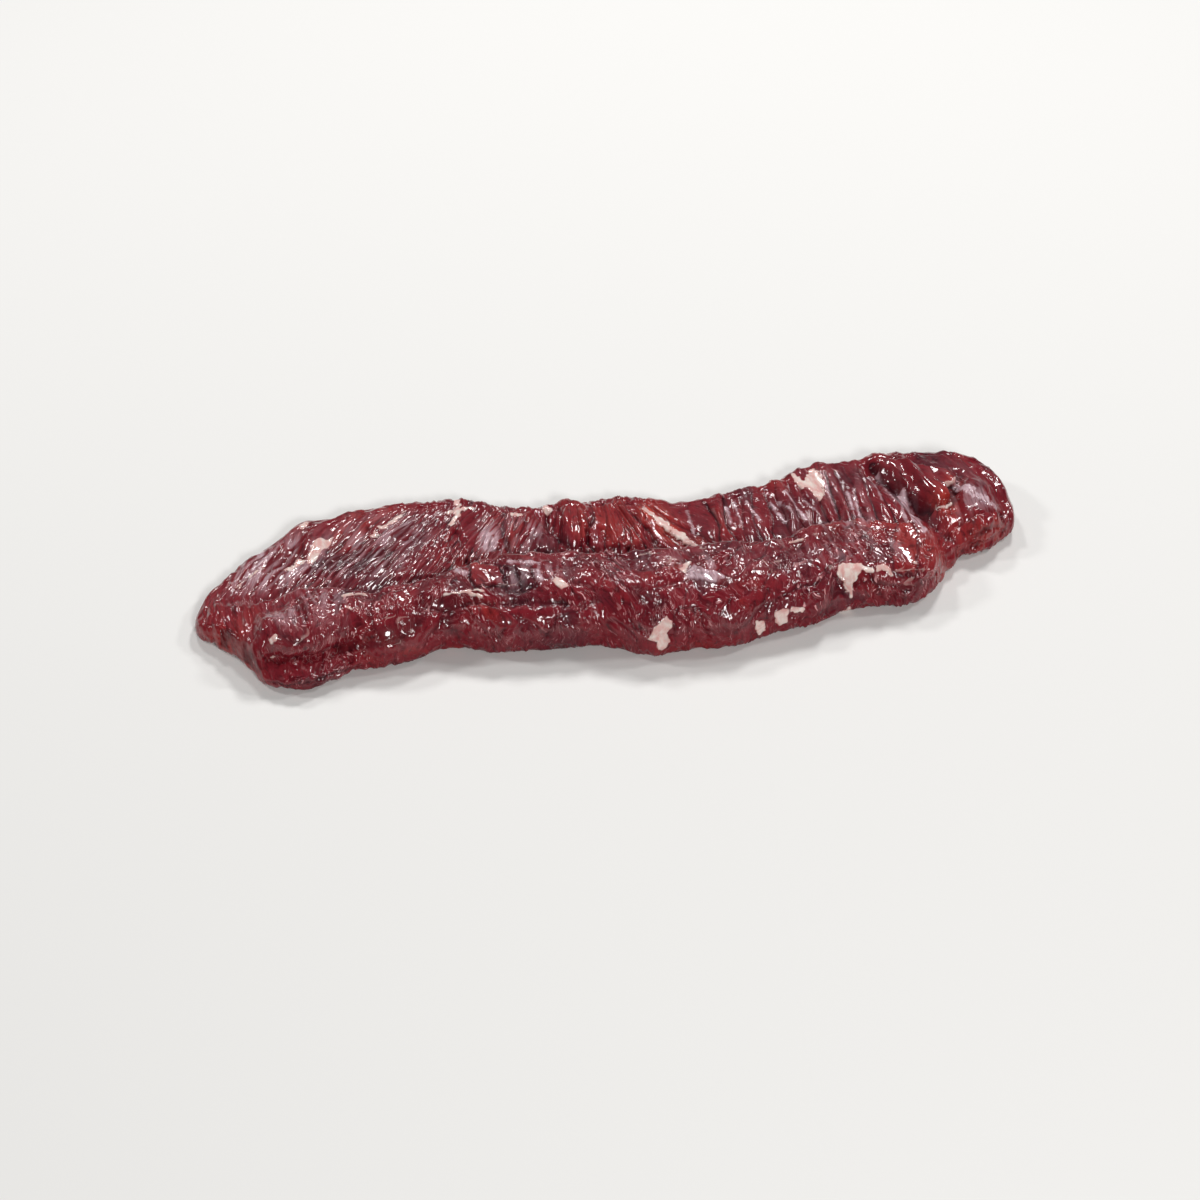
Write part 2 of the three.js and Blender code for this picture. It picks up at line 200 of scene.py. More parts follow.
# Width of one fibre bundle along the fold, as [x, width], and how deep its sides are cut
BUNDLE_WIDTH = [
    [-170.5, 4], [-150, 3.2], [-118, 3.0], [-85, 3.0], [-62, 5.0], [-20, 8.0], [22, 8.0],
    [40, 6.0], [80, 5.6], [105, 6.0], [128, 7.5], [150, 8], [170.5, 7],
]
BUNDLE_DEPTH = [
    [-170.5, 0.3], [-150, 0.5], [-118, 0.7], [-85, 0.7], [-50, 0.9], [0, 1.25], [40, 1.35],
    [110, 1.35], [126, 0.6], [150, 0.25], [170.5, 0.15],
]

# How far the bundles stray from straight, as [x, share]
BUNDLE_WANDER = [
    [-170.5, 1], [-110, 1.2], [-60, 1.7], [20, 1.7], [42, 0.9], [115, 0.8], [135, 1.6],
    [170.5, 2],
]

# How much of the beads and pebbles the lower leaf shows, as [x, share]
COARSE_SHARE = [
    [-170.5, 0.8], [-120, 1], [-70, 1], [-40, 0.8], [20, 0.45], [48, 0.12], [110, 0.12],
    [150, 0.35], [170.5, 0.35],
]

# Where the bundles run straight across the cut instead of slanting with its sections, and how
# far from the back edge they start and stop fading
STRAIGHT_SPAN = [15, 45, 120, 140]
FADE_START = 12
FADE_END = 3

# Finer patterns of the lower leaf: lengths along the fold and across it, and heights
FIBRE_SIZE, FIBRE_HEIGHT = (1.6, 9), 0.26
BEAD_SIZE, BEAD_HEIGHT = (2.3, 7.5), 0.36
PEBBLE_SIZE, PEBBLE_HEIGHT = (1.9, 4.4, 3), 0.26
LUMP_SIZE, LUMP_HEIGHT = 7.5, 0.45
BUNDLE_RISE = 1.9
BUNDLE_FLOOR = 0.55
ROUND_EDGE_PEBBLES = 0.6
ROUND_EDGE_LUMPS = 0.8

# Finer patterns of the upper leaf, in the same terms, and their heights on its front face
STRAND_SIZE, STRAND_HEIGHT, FACE_STRAND_HEIGHT = (2.1, 6.5), 0.6, 0.8
GRAIN_SIZE, GRAIN_HEIGHT, FACE_GRAIN_HEIGHT = (1.3, 3.4), 0.28, 0.5
STRIPE_SIZE, STRIPE_HEIGHT = (1.3, 11), 0.25
UPPER_LUMP_HEIGHT, FACE_LUMP_HEIGHT = 0.55, 0.9
SOFT_CREASE_DEPTH, FACE_CREASE_DEPTH = 0.45, 0.3
UPPER_PEBBLE_HEIGHT = 0.14
TILE_SIZE = (9.5, 8)
SMOOTH_TILES = 0.17

# How far lines curl and stray, as (distance, length) of each bend
CURLS = [(2.6, 7), (0.7, 2.4)]
STRAYS = [(1.1, 6), (0.4, 1.7)]

# The front face ends at these shares of the ridge's height; the lips lie under these heights
FACE_TOP = (0.3, 0.62)
LIP_TOP = (14, 9)
LIP_LUMP_HEIGHT = 0.9
LIP_PLY_HEIGHT = 0.5
LIP_SLIT_HEIGHT = 4.6
LIP_SLIT_WIDTH = 0.8
LIP_SLIT_DEPTH = 1.0

# How far behind the front line the front's fat may show, how thick fat and silver skin with
# its painted highlight lines are, and the first seeds of their ragged rims
FRONT_FAT_REACH = 14
FAT_HEIGHT = 0.4
SILVER_AND_HIGHLIGHT_HEIGHT = 0.4
FAT_SEED = 61
SILVER_AND_HIGHLIGHT_SEED = 301

# Plates with an edge no wider than this have painted shade in a gap beside them, and
# membrane with painted sheen is combed along the bundles up to here
SHARP_EDGE = 1
COMBED_END = (-72, -60)

# Fat as (points in X and Y, half width, raggedness); a half width of 0 fills the outline
FAT = [
    ([(-124, 17), (-123, 23), (-120, 30), (-117, 32), (-115, 31), (-112, 33), (-114, 28),
      (-117, 24), (-119, 21), (-122, 17)], 0, 0.5),
    ([(-124, 40), (-122, 43)], 1.1, 0.7),
    ([(-131, 15), (-127, 19)], 1.5, 1.8),
    ([(-153, 11), (-148, 15), (-142, 19)], 0.9, 1.3),
    ([(-96, 29), (-88, 36), (-82, 42)], 1.0, 1.3),
    ([(-59, 46), (-61, 34), (-64, 29)], 1.1, 1.1),
    ([(-60, 38), (-54, 40)], 0.8, 0.9),
    ([(-63, 39), (-61, 37)], 1.3, 0.8),
    ([(-24, 35), (-23, 33)], 1.5, 0.6),
    ([(-38, 32), (-35, 31)], 0.9, 0.8),
    ([(16, 25), (19, 21), (21, 16)], 1.2, 1.3),
    ([(21, 17), (25, 10), (27, 8)], 2.0, 1.3),
    ([(27, 7), (31, 1)], 1.3, 1.3),
    ([(82, 38), (84, 37), (86, 32), (89, 38), (93, 39), (94, 33), (93, 27), (91, 19),
      (89, 16), (87, 23), (83, 28), (81, 33)], 0, 1.2),
    ([(-112, -14), (-109, -14)], 1.1, 0.4),
    ([(-109, -14), (-104, -15)], 0.5, 0.5),
    ([(-74, -22), (-68, -23), (-61, -23), (-59, -24)], 0.45, 0.5),
    ([(-64, -24), (-60, -26)], 0.7, 0.6),
    ([(-32, -25), (-30, -23), (-28, -24), (-26, -28), (-29, -29), (-31, -27)], 0, 0.3),
    ([(18, -27), (23, -22), (24, -23), (20, -29)], 0, 0.6),
    ([(92, -33), (95, -34)], 1.0, 0.7),
    ([(98, -34), (100, -34), (103, -37)], 0.9, 0.9),
    ([(113, -34), (113.5, -34)], 0.8, 0.2),
    ([(81, -35), (82, -32), (84, -31), (92, -31), (92, -33), (88, -37), (86, -40),
      (84, -39)], 0, 0.6),
    ([(-142, -32), (-140, -31)], 0.6, 0.8),
    ([(146, 14.5), (144.5, 11.5), (141, 11.5)], 0.5, 0.4),
    ([(141, 3), (138, 0.5), (134, 2)], 0.5, 0.4),
    ([(-112, -22), (-110, -23)], 0.5, 0.4),
    ([(52, -26), (53, -29)], 0.5, 0.5),
    ([(67, -14), (72, -15)], 0.5, 0.4),
]

# Fat on the front face, with its points in X and Z
FRONT_FAT = [
    ([(0, 11), (2, 13), (3, 16), (9, 19), (11, 17), (9, 12), (10, 9), (7, 5), (4, 8),
      (5, 11)], 0, 0.5),
    ([(44, 13), (48, 11), (49, 6), (46, 5), (44, 9)], 0, 0.6),
    ([(52, 14), (58, 14), (58, 8), (55, 6), (53, 9)], 0, 0.6),
    ([(60, 13), (64, 12)], 1.3, 1.0),
]

# Silver skin and painted highlight lines along the bundles, in the same terms as the fat
SILVER_AND_HIGHLIGHTS = [
    ([(-52, 24), (-49, 21), (-47, 17), (-49, 11), (-53, 8), (-54, 12), (-52, 17)], 0, 1.0),
    ([(123.5, 16), (125, 8), (124.5, -4), (123.5, -14)], 1.9, 0.9),
    ([(22, -26), (25, -24), (27, -28), (32, -31), (35, -35), (30, -37), (24, -33),
      (20, -31)], 0, 1.0),
    ([(-46, -10), (-41, -12), (-35, -14)], 1.0, 1.0),
    ([(-39, -17), (-36, -18), (-35, -24), (-38, -23)], 0, 0.4),
    ([(-67, -9), (-64, -12)], 1.4, 0.5),
    ([(145, 12), (150, 3), (157, -2)], 1.6, 2.2),
    ([(33.5, 23), (33, 6)], 0.4, 0.6),
    ([(50, 22), (49.5, 12)], 0.7, 0.7),
    ([(54, 25), (53.5, 10)], 0.4, 0.6),
    ([(59, 23), (61.5, 10)], 0.7, 0.6),
    ([(68.5, 22), (71.5, 8)], 0.6, 0.6),
    ([(71.5, 23), (76.5, 6)], 0.4, 0.6),
    ([(76, 25), (80, 7)], 0.7, 0.6),
    ([(82.5, 19), (86, 7)], 0.4, 0.6),
    ([(94.5, 27), (93.5, 9)], 0.5, 0.6),
    ([(101.5, 21), (100.5, 9)], 0.6, 0.6),
    ([(104.5, 22), (102.5, 5)], 0.5, 0.6),
    ([(115, 32), (113.5, 10)], 0.5, 0.6),
    ([(118, 31), (119.5, 11)], 0.5, 0.6),
    ([(-146, 19), (-136, 29)], 0.7, 0.9),
    ([(-140, 12), (-128, 28)], 0.6, 0.9),
]

# Smooth plates and lobes as (outline in X and Y, edge, height, warmth, calmness)
PLATES = [
    ([(117, 36), (126, 34), (131, 29), (137, 23), (143, 19), (146, 14.5), (144.5, 11.5),
      (141, 11.5), (140.5, 7), (141, 3), (138, 0.5), (134, 2), (130, 7), (125, 15), (120, 25)],
     0.9, 2.3, 0.3, 0.55),
    ([(-61, -7), (-51, -11), (-50, -22), (-61, -21), (-63, -16)], 0.7, 0.9, 0.6, 0.85),
    ([(-49, -13), (-46, -14), (-44, -24), (-49, -25)], 0.6, -0.8, -0.9, 0.8),
    ([(-44, -14), (-39, -16), (-39, -25), (-43, -23)], 0.5, 0.7, -0.2, 0.9),
    ([(117, -6), (120, -8), (118, -22), (112, -38), (104, -36), (108, -20)], 1.0, 0.35, 0.5, 0.8),
    ([(100, -22), (106, -23), (104, -31), (96, -29)], 0.8, -0.4, -0.5, 0.7),
    ([(17, -22), (22, -22), (34, -39), (24, -42)], 1.5, -0.5, -0.6, 0.6),
    ([(-60, 37), (-50, 46), (-45, 30), (-46, 15), (-58, 13), (-61, 26)], 2.5, 0.9, -0.1, 0.6),
    ([(-41, 33), (-30, 41), (-25, 27), (-28, 6), (-41, 8), (-43, 21)], 2.5, 0.9, 0.1, 0.4),
    ([(-18, 38), (-8, 40), (-9, 14), (-16, 10), (-19, 26)], 2.0, 1.0, 0.5, 0.6),
    ([(-6, 30), (5, 34), (15, 24), (11, 3), (-3, 6)], 2.5, 1.1, 0.3, 0.5),
    ([(-92, 2), (-80, 14), (-72, 30), (-64, 30), (-66, 10), (-74, 0)], 2.0, 0.5, 0.1, 0.3),
]

# Where the silvery membrane and painted sheen show, as (middle, reach, strength)
MEMBRANE_AND_SHEEN = [
    ((-137, 22, 9), (22, 16, 12), 0.75),
    ((-103, 16, 11), (17, 11, 10), 1.0),
    ((-90, 30, 11), (14, 12, 10), 0.55),
    ((-50, 17, 12), (5, 10, 8), 0.95),
    ((-34, 20, 11), (8, 12, 8), 0.4),
    ((60, 20, 12), (14, 14, 8), 0.12),
    ((100, 20, 12), (12, 16, 8), 0.15),
    ((123, 0, 13), (4, 13, 8), 0.9),
    ((152, 2, 18), (12, 14, 8), 0.35),
    ((-40, -16, 24), (12, 6, 8), 0.6),
    ((28, -28, 24), (9, 6, 8), 0.8),
    ((-128, -18, 20), (16, 8, 8), 0.7),
    ((112, -20, 18), (8, 8, 8), 0.4),
    ((20, -22, 24), (40, 8, 8), 0.1),
    ((88, -22, 20), (24, 8, 8), 0.25),
    ((98, -3, 18), (26, 5, 7), 0.65),
]

# Where the muscle is a brighter, warmer red (above zero) or a deeper plum (below zero)
WARMTH = [
    ((-3, 30, 12), (14, 8, 9), 0.35),
    ((18, 28, 11), (7, 9, 9), 0.9),
    ((22, 14, 11), (7, 14, 8), 0.9),
    ((152, -14, 10), (12, 9, 9), 0.75),
    ((141, 6, 16), (5, 12, 8), 0.6),
    ((-160, -16, 7), (8, 10, 8), 0.7),
    ((-150, -30, 4), (12, 6, 8), 0.8),
    ((-108, -40, 8), (12, 6, 8), 0.6),
    ((122, -26, 15), (8, 12, 9), 0.7),
    ((95, -6, 19), (30, 6, 6), 0.8),
    ((72, 34, 11), (8, 8, 8), 0.6),
    ((102, -30, 14), (14, 8, 8), 0.4),
    ((-60, -35, 8), (45, 8, 8), -0.15),
    ((-10, -42, 7), (45, 8, 8), -0.15),
    ((-135, 10, 9), (20, 16, 8), -0.35),
    ((105, 26, 12), (16, 16, 8), -0.4),
    ((140, 28, 13), (18, 12, 8), -0.6),
    ((-46, -18, 24), (10, 8, 8), -0.6),
    ((10, -20, 24), (14, 8, 8), -0.4),
]

# Where fresh muscle shows orange-red, in the same terms as the membrane
ORANGE = [
    ((17, 23, 11), (3.5, 5, 8), 1.0),
    ((24, 12, 11), (5, 8, 8), 1.0),
    ((31, 2, 12), (4, 4, 8), 0.6),
    ((139, 2, 16), (4, 4, 6), 0.7),
    ((145, 13, 17), (3, 3, 6), 0.6),
    ((18, -24, 24), (4, 3, 6), 0.6),
    ((42, -38, 19), (6, 3, 5), 0.5),
    ((-152, -22, 8), (4, 5, 5), 0.35),
]

# Narrow grooves seen from above as (line, width, depth)
CUTS = [
    ([(-84, -25), (-72, -27), (-58, -29), (-40, -31), (-24, -35)], 1.6, 1.1),
    ([(-51, -24), (-44, -26), (-38, -25)], 1.2, 0.9),
    ([(120, 29), (123, 19), (128, 9), (131, -1), (132, -11), (135, -17)], 2.6, 1.6),
    ([(143, -16), (147, -15.5), (152, -14), (159, -10), (161, -3)], 1.0, 1.0),
    ([(-24, 33), (-24, 22), (-21, 15), (-18, 5)], 1.3, 1.6),
    ([(-62, 24), (-61, 12), (-60, 3)], 1.2, 1.0),
    ([(-42, 34), (-44, 20), (-42, 8)], 1.2, 1.0),
    ([(-10, 38), (-9, 24), (-11, 10)], 1.2, 1.4),
    ([(-12, 2), (0, 1), (12, -0.5)], 1.6, 1.2),
    ([(7, 30), (12, 20), (17, 6)], 1.0, 1.0),
    ([(-112, 31), (-116, 23), (-120, 14)], 0.9, 0.9),
    ([(67, -28), (73, -33), (80, -36), (86, -41)], 1.0, 0.8),
    ([(110, -38), (106, -28), (110, -14)], 0.8, 0.5),
    ([(-144, -33), (-139, -34)], 1.3, 1.6),
    ([(149, 17), (147, 11), (143, 8.5), (143, 2), (139, -2), (133, 0)], 1.5, 1.7),
    ([(-160, -16), (-152, -27), (-147, -36)], 1.8, 0.7),
]

# Grain of the material: cells to a metre along the fold and round the section, and how many
# layers of finer detail lie over it
GRAIN = {
    "threads": (1100, 170, 3), "mottle": (300, 240, 4), "pores": (2300, 1300, 2),
    "loops": (420, 230, 1.5), "glint_strokes": (760, 260, 1), "where": (95, 80, 2),
}
GRAIN_ROUGHNESS = 0.6

# Shares that the mesh keeps for the material, and the colours that the finish sets
SHARES = ("fat", "membrane_and_sheen", "shade_and_blood_share", "warmth", "face", "curls", "calm", "orange")
COLOURS = (
    "plum", "wine", "brick", "orange", "blood_and_shade_colour", "pale_fibre_and_glint", "membrane_and_sheen", "fat", "fat_pink",
)

# The camera's place in metres and its turn, and the soft lights as (name, place, size, power)
CAMERA_PLACE = (-0.140955, -0.623820, 0.584155)
CAMERA_PITCH = math.radians(43.111)
CAMERA_YAW = math.radians(-12.087)
CAMERA_ROLL = math.radians(1.212)
SENSOR_WIDTH = 36
LIGHTS = [
    ("key", (0.50, 0.85, 1.15), 0.24, 9),
    ("back left", (-0.25, 1.00, 1.05), 0.20, 5),
    ("right", (1.00, 0.10, 0.90), 0.18, 3.6),
    ("left", (-0.95, 0.35, 0.80), 0.18, 3.6),
    ("front", (0.10, -1.15, 0.80), 0.26, 9),
]
WORLD_LIGHT = 0.10
FLOOR_ROUGHNESS = 0.85


def along(stations, x):
    """Smooth curve through [x, value] stations."""
    places, values = np.array(stations, dtype=float).T
    spans = np.diff(places)
    rises = np.diff(values) / spans
    slopes = np.empty(len(values))
    slopes[0], slopes[-1] = rises[0], rises[-1]
    before, after = rises[:-1], rises[1:]
    same_way = before * after > 0
    total = np.where(same_way, before + after, 1)
    slopes[1:-1] = np.where(same_way, 2 * before * after / total, 0)
    at = np.clip(np.asarray(x, dtype=float), places[0], places[-1])
    i = np.clip(np.searchsorted(places, at, side="left") - 1, 0, len(spans) - 1)
    u = (at - places[i]) / spans[i]
    rise = u * u * (3 - 2 * u)
    return (values[i] + (values[i + 1] - values[i]) * rise
            + spans[i] * u * (1 - u) * ((1 - u) * slopes[i] - u * slopes[i + 1]))


def smooth(start, end, x):
    """An eased step from 0 at start to 1 at end."""
    u = np.clip((x - start) / (end - start), 0, 1)
    return u * u * (3 - 2 * u)


def mix(a, b, u):
    return a + (b - a) * u


def within(span, x):
    """1 between the two middle places of a span, falling to 0 at its outer ones."""
    return smooth(span[0], span[1], x) * (1 - smooth(span[2], span[3], x))


def chance(cells, seed):
    """A steady random number from 0 to 1 for each whole-numbered cell."""
    mixed = np.full(np.shape(cells[0]), seed * 1013904223 & 0xFFFFFFFF, dtype=np.uint64)
    for cell, prime in zip(cells, (374761393, 668265263, 2246822519)):
        mixed = mixed + (cell.astype(np.int64) & 0xFFFFFFFF).astype(np.uint64) * np.uint64(prime)
        mixed = (mixed ^ (mixed >> np.uint64(15))) & np.uint64(0xFFFFFFFF)
    mixed = (mixed * np.uint64(2246822519)) & np.uint64(0xFFFFFFFF)
    mixed = mixed ^ (mixed >> np.uint64(13))
    mixed = (mixed * np.uint64(3266489917)) & np.uint64(0xFFFFFFFF)
    return ((mixed ^ (mixed >> np.uint64(16))) & np.uint64(0xFFFF)).astype(float) / 65535


def noise(seed, *axes):
    """Smooth random field from -1 to 1 for one seed, in two or three dimensions."""
    lows = [np.floor(axis) for axis in axes]
    parts = [axis - low for axis, low in zip(axes, lows)]
    eased = [part ** 3 * (part * (part * 6 - 15) + 10) for part in parts]
    total = 0
    for corner in range(2 ** len(axes)):
        steps = [(corner >> k) & 1 for k in range(len(axes))]
        weight = 1
        for step, ease in zip(steps, eased):
            weight = weight * (ease if step else 1 - ease)
        total = total + weight * chance([low + step for low, step in zip(lows, steps)], seed)
    return 2 * total - 1


def layered(seed, octaves, *axes):
    """Noise for one seed with finer and fainter noise laid over it."""
    total, share, scale = 0, 1, 1
    for octave in range(octaves):
        total = total + share * noise(seed + 7 * octave, *[axis * scale for axis in axes])
        share *= 0.5
        scale *= 2.03
    return total


def leaf_top(x, y):
    """Height of the lower leaf's upper face."""
    back = along(BACK_EDGE, x)
    front = along(FRONT_EDGE, x)
    across = (2 * y - back - front) / (back - front)
    return along(LEAF_HEIGHT, x) * (1 - LEAF_CROWN * across * across)


def section_sizes(x):
    """The sizes of the section that starts at each place along the fold."""
    s = {"x": x, "back_x": x + along(FIBRE_SLANT, x), "front": along(FRONT_EDGE, x)}
    s["width"] = along(BACK_EDGE, x) - s["front"]
    narrow = np.minimum(1, s["width"] / NARROW_WIDTH)
    s["crest"] = np.minimum(along(CREST_EDGE, x), s["front"] + CREST_LIMIT_SHARE * s["width"])
    leaf = s["crest"] - s["front"]
    s["edge_round"] = np.minimum(FREE_EDGE_ROUNDING, FREE_EDGE_LIMIT * leaf)
    s["loose"] = within(LOOSE_SPAN, x)
    s["back"] = along(BACK_EDGE, s["back_x"])
    s["ridge_top"] = along(RIDGE_HEIGHT, x)
    s["crest_top"] = along(CREST_HEIGHT, x)
    s["under_round"] = UNDER_FOLD_ROUNDING * narrow
    s["fold_round"] = np.minimum(along(FOLD_ROUNDING, x), FOLD_ROUNDING_LIMIT * leaf)
    s["lean"] = along(FOLD_LEAN, x) * narrow
    s["back_round"] = BACK_ROUNDING * narrow
    s["gape"] = within(MOUTH_SPAN, x)
    s["shoulder"] = s["crest"] - s["edge_round"]
    s["upper_grain"] = mix(1, UPPER_GRAIN, s["loose"])
    s["slope_end"] = s["crest"] + np.minimum(
        np.maximum(SLOPE_REACH, SLOPE_SHARE * s["width"]), SLOPE_LIMIT * (s["back"] - s["crest"]))
    return s


def underside(s, u):
    under_back = s["back"] - s["back_round"] * (1 - FOOT_SHARE)
    y = mix(under_back, s["front"] + s["under_round"], u)
    return mix(s["back_x"], s["x"], u), y, 0 * y, 0 * y


def under_fold(s, u):
    turn = u * math.pi / 2
    y = s["front"] + s["under_round"] * (1 - np.sin(turn) ** SQUARENESS)
    z = WIDEST_FOLD_SHARE * s["ridge_top"] * (1 - np.cos(turn) ** SQUARENESS)
    return s["x"] + 0 * y, y, z, u * s["upper_grain"]


def fold(s, u):
    turn = u * math.pi / 2
    behind = s["fold_round"] * (1 - np.cos(turn) ** SQUARENESS) + s["lean"] * u
    height = mix(WIDEST_FOLD_SHARE, 1, np.sin(turn) ** SQUARENESS) * s["ridge_top"]
    y = s["front"] + mix(behind, along(MOUTH_DEPTH, u), s["gape"])
    z = mix(height, along(MOUTH_HEIGHT, u), s["gape"])
    return s["x"] + 0 * y, y, z, mix(s["upper_grain"], MOUTH_GRAIN, s["gape"]) + 0 * y


def ridge(s, u):
    start = s["front"] + mix(s["fold_round"] + s["lean"], along(MOUTH_DEPTH, 1), s["gape"])
    y = mix(start, s["shoulder"], u)
    z = mix(s["ridge_top"], s["crest_top"], smooth(0, 1, u))
    return s["x"] + 0 * y, y, z, s["upper_grain"] + 0 * y


def slope(s, y, z, share, outside):
    """Blends a loose free edge with the plain slope that the two leaves grow into."""
    slope_y = mix(s["shoulder"], s["slope_end"], share)
    slope_z = mix(s["crest_top"], leaf_top(s["x"], slope_y), smooth(0, 1, share))
    grain = np.where(outside, s["upper_grain"], 1 - s["loose"])
    return s["x"] + 0 * y, mix(slope_y, y, s["loose"]), mix(slope_z, z, s["loose"]), grain + 0 * y


def crease_depth(s):
    return np.minimum(CREASE_DEPTH, CREASE_DEPTH_LIMIT * (s["crest"] - s["front"]))


def free_edge(s, u):
    roof = leaf_top(s["x"], s["crest"]) + CREASE_GAP
    turn = math.pi * (0.5 - u)
    y = s["shoulder"] + s["edge_round"] * np.cos(turn)
    z = (s["crest_top"] + roof) / 2 + (s["crest_top"] - roof) / 2 * np.sin(turn)
    return slope(s, y, z, 0.5 * u, u < 0.8)


def crease_in(s, u):
    y = mix(s["shoulder"], s["crest"] - crease_depth(s), u)
    return slope(s, y, leaf_top(s["x"], y) + CREASE_GAP, 0.5 + 0.2 * u, False)


def crease_root(s, u):
    deepest = s["crest"] - crease_depth(s)
    z = leaf_top(s["x"], deepest) + CREASE_GAP / 2
    return slope(s, deepest - CREASE_ROOT + 0 * u, z, 0.75 + 0 * u, False)


def crease_out(s, u):
    y = mix(s["crest"] - crease_depth(s), s["crest"], u)
    return slope(s, y, leaf_top(s["x"], y), 0.8 + 0.2 * u, False)


def lower_leaf(s, u):
    x = mix(s["x"], s["back_x"], u)
    y = mix(mix(s["slope_end"], s["crest"], s["loose"]), s["back"] - s["back_round"], u)
    return x, y, leaf_top(x, y), mix(1 - s["loose"], 1, smooth(0, 0.04, u))


def back_edge(s, u):
    centre = s["back"] - s["back_round"]
    top = leaf_top(s["back_x"], centre)
    low = WIDEST_BACK_SHARE * top
    turn = math.pi * mix(0.5, -0.25, u)
    rise = np.sin(turn)
    z = np.where(rise >= 0, mix(low, top, np.abs(rise) ** SQUARENESS), low * (1 + rise))
    y = centre + s["back_round"] * np.cos(turn) ** SQUARENESS
    return s["back_x"] + 0 * y, y, z, 1 + 0 * y


REGIONS = {
    "underside": underside, "under_fold": under_fold, "fold": fold, "ridge": ridge,
    "free_edge": free_edge, "crease_in": crease_in, "crease_root": crease_root,
    "crease_out": crease_out, "lower_leaf": lower_leaf, "back_edge": back_edge,
}


def plain_sections(rows):
    """The plain cut as grids of x, y, z and grain, one row for each place along the fold."""
    sizes = {name: value[:, None] for name, value in section_sizes(rows).items()}
    grids = []
    for name, region in REGIONS.items():
        shares = (np.arange(SAMPLES[name]) / SAMPLES[name])[None, :]
        grids.append(np.broadcast_arrays(*region(sizes, shares)))
    x, y, z, grain = (np.concatenate([grid[k] for grid in grids], axis=1) for k in range(4))
    return x, y, z, grain, sizes


def columns(*names):
    """1 for the columns of the named regions and 0 for all others."""
    return np.concatenate([np.full(SAMPLES[name], float(name in names)) for name in REGIONS])[None]


def broad_bundles(row, y):
    wander = 1.4 * np.sin(row / 17 + y / 40) + 0.6 * np.sin(y / 9 + row / 31)
    broad = np.sin(2 * math.pi * row / BUNDLE_SPACING + wander)
    fine = np.sin(2 * math.pi * row / FINE_BUNDLE_SPACING + 1.7 * wander)
    uneven = 0.95 + 0.3 * np.sin(row / 9 + 1.5 * np.sin(row / 21))
    return uneven * (BUNDLE_HEIGHT * broad + FINE_BUNDLE_HEIGHT * fine)


def swells(x, y):
    wave = np.sin(2 * math.pi * x / SWELL_LENGTH + 0.05 * y)
    return SWELL_HEIGHT * wave * np.cos(y / 13 + x / 47)


def line_distance(points, *axes):
    """Distance of each place from a line through the given points."""
    nearest = np.full(axes[0].shape, np.inf)
    for start, end in zip(points, points[1:]):
        spans = [(axis - a, b - a) for axis, a, b in zip(axes, start, end)]
        share = sum(away * way for away, way in spans) / sum(way ** 2 for _, way in spans)
        share = np.clip(share, 0, 1)
        nearest = np.minimum(nearest, sum((away - share * way) ** 2 for away, way in spans))
    return np.sqrt(nearest)


def spots(places, x, y, z):
    """Sum of soft spots, each given by its middle, reach and strength."""
    total = np.zeros(x.shape)
    for middle, reach, strength in places:
        away = (((x - middle[0]) / reach[0]) ** 2 + ((y - middle[1]) / reach[1]) ** 2
                + ((z - middle[2]) / reach[2]) ** 2)
        total += strength * np.exp(-away)
    return total


def inside(points, half, a, b):
    """How far each place lies inside a line's width or an outline, below zero outside."""
    if half:
        return half - line_distance(points, a, b)
    closed = points + points[:1]
    within_it = np.zeros(a.shape, dtype=bool)
    for (a0, b0), (a1, b1) in zip(closed, closed[1:]):
        if b1 != b0:
            within_it ^= ((b0 > b) != (b1 > b)) & (a < a0 + (b - b0) / (b1 - b0) * (a1 - a0))
    away = line_distance(closed, a, b)
    return np.where(within_it, away, -away)


def patches(places, seed, across, x, y, z):
    """Cover of 0 to 1 from ragged patches, whose points lie along X and across."""
    total = np.zeros(x.shape)
    for number, (points, half, ragged) in enumerate(places, start=seed):
        wobble = ragged * (0.8 * noise(number, x / 2.6, y / 2.6, z / 2.6)
                           + 0.6 * noise(number + 50, x, y, z))
        total = np.maximum(total, smooth(-0.45, 0.6, inside(points, half, x, across) + wobble))
    return total


def valleys(x, y, z):
    total = np.zeros(x.shape)
    for start, end, width, depth in VALLEYS:
        total += depth * np.exp(-(line_distance([start, end], x, y, z) / width) ** 2)
    return total


def strayed(place, seeds, bends, a, b):
    """A grid of places moved to and fro by noise, one bend after the other."""
    for seed, (distance, length) in zip(seeds, bends):
        place = place + distance * noise(seed, a / length, b / length)
    return place


def push_out(y, z, lift):
    """Moves the points of each section out along the section's own normals."""
    rise = np.roll(z, -1, axis=1) - np.roll(z, 1, axis=1)
    run = np.roll(y, -1, axis=1) - np.roll(y, 1, axis=1)
    length = np.maximum(np.hypot(rise, run), 1e-9)
    return y - rise / length * lift, np.maximum(z + run / length * lift, 0)


def bundle_pattern(row, y):
    """Fibre bundles: their rounded backs from 0 to 1, how near each place is to its bundle's
    side, and a random share for each bundle."""
    fine = np.linspace(LEFT_TIP_X, RIGHT_TIP_X, 2001)
    counts = np.cumsum(1 / along(BUNDLE_WIDTH, fine)) * (fine[1] - fine[0])
    place = np.interp(row, fine, counts)
    wander = 0.85 * noise(3, row / 19, y / 30) + 0.35 * noise(5, row / 6, y / 12)
    place = place + along(BUNDLE_WANDER, row) * wander
    cell = np.floor(place)
    side = np.abs(2 * (place - cell) - 1)
    height = 1 - side ** 2.4
    lot = chance([cell], 11)
    joined = smooth(-0.35, 0.35, noise(13, cell * 7.31 + 0.5, y / 13))
    return height * mix(0.45, 1, lot) * mix(0.55, 1, joined), side, lot


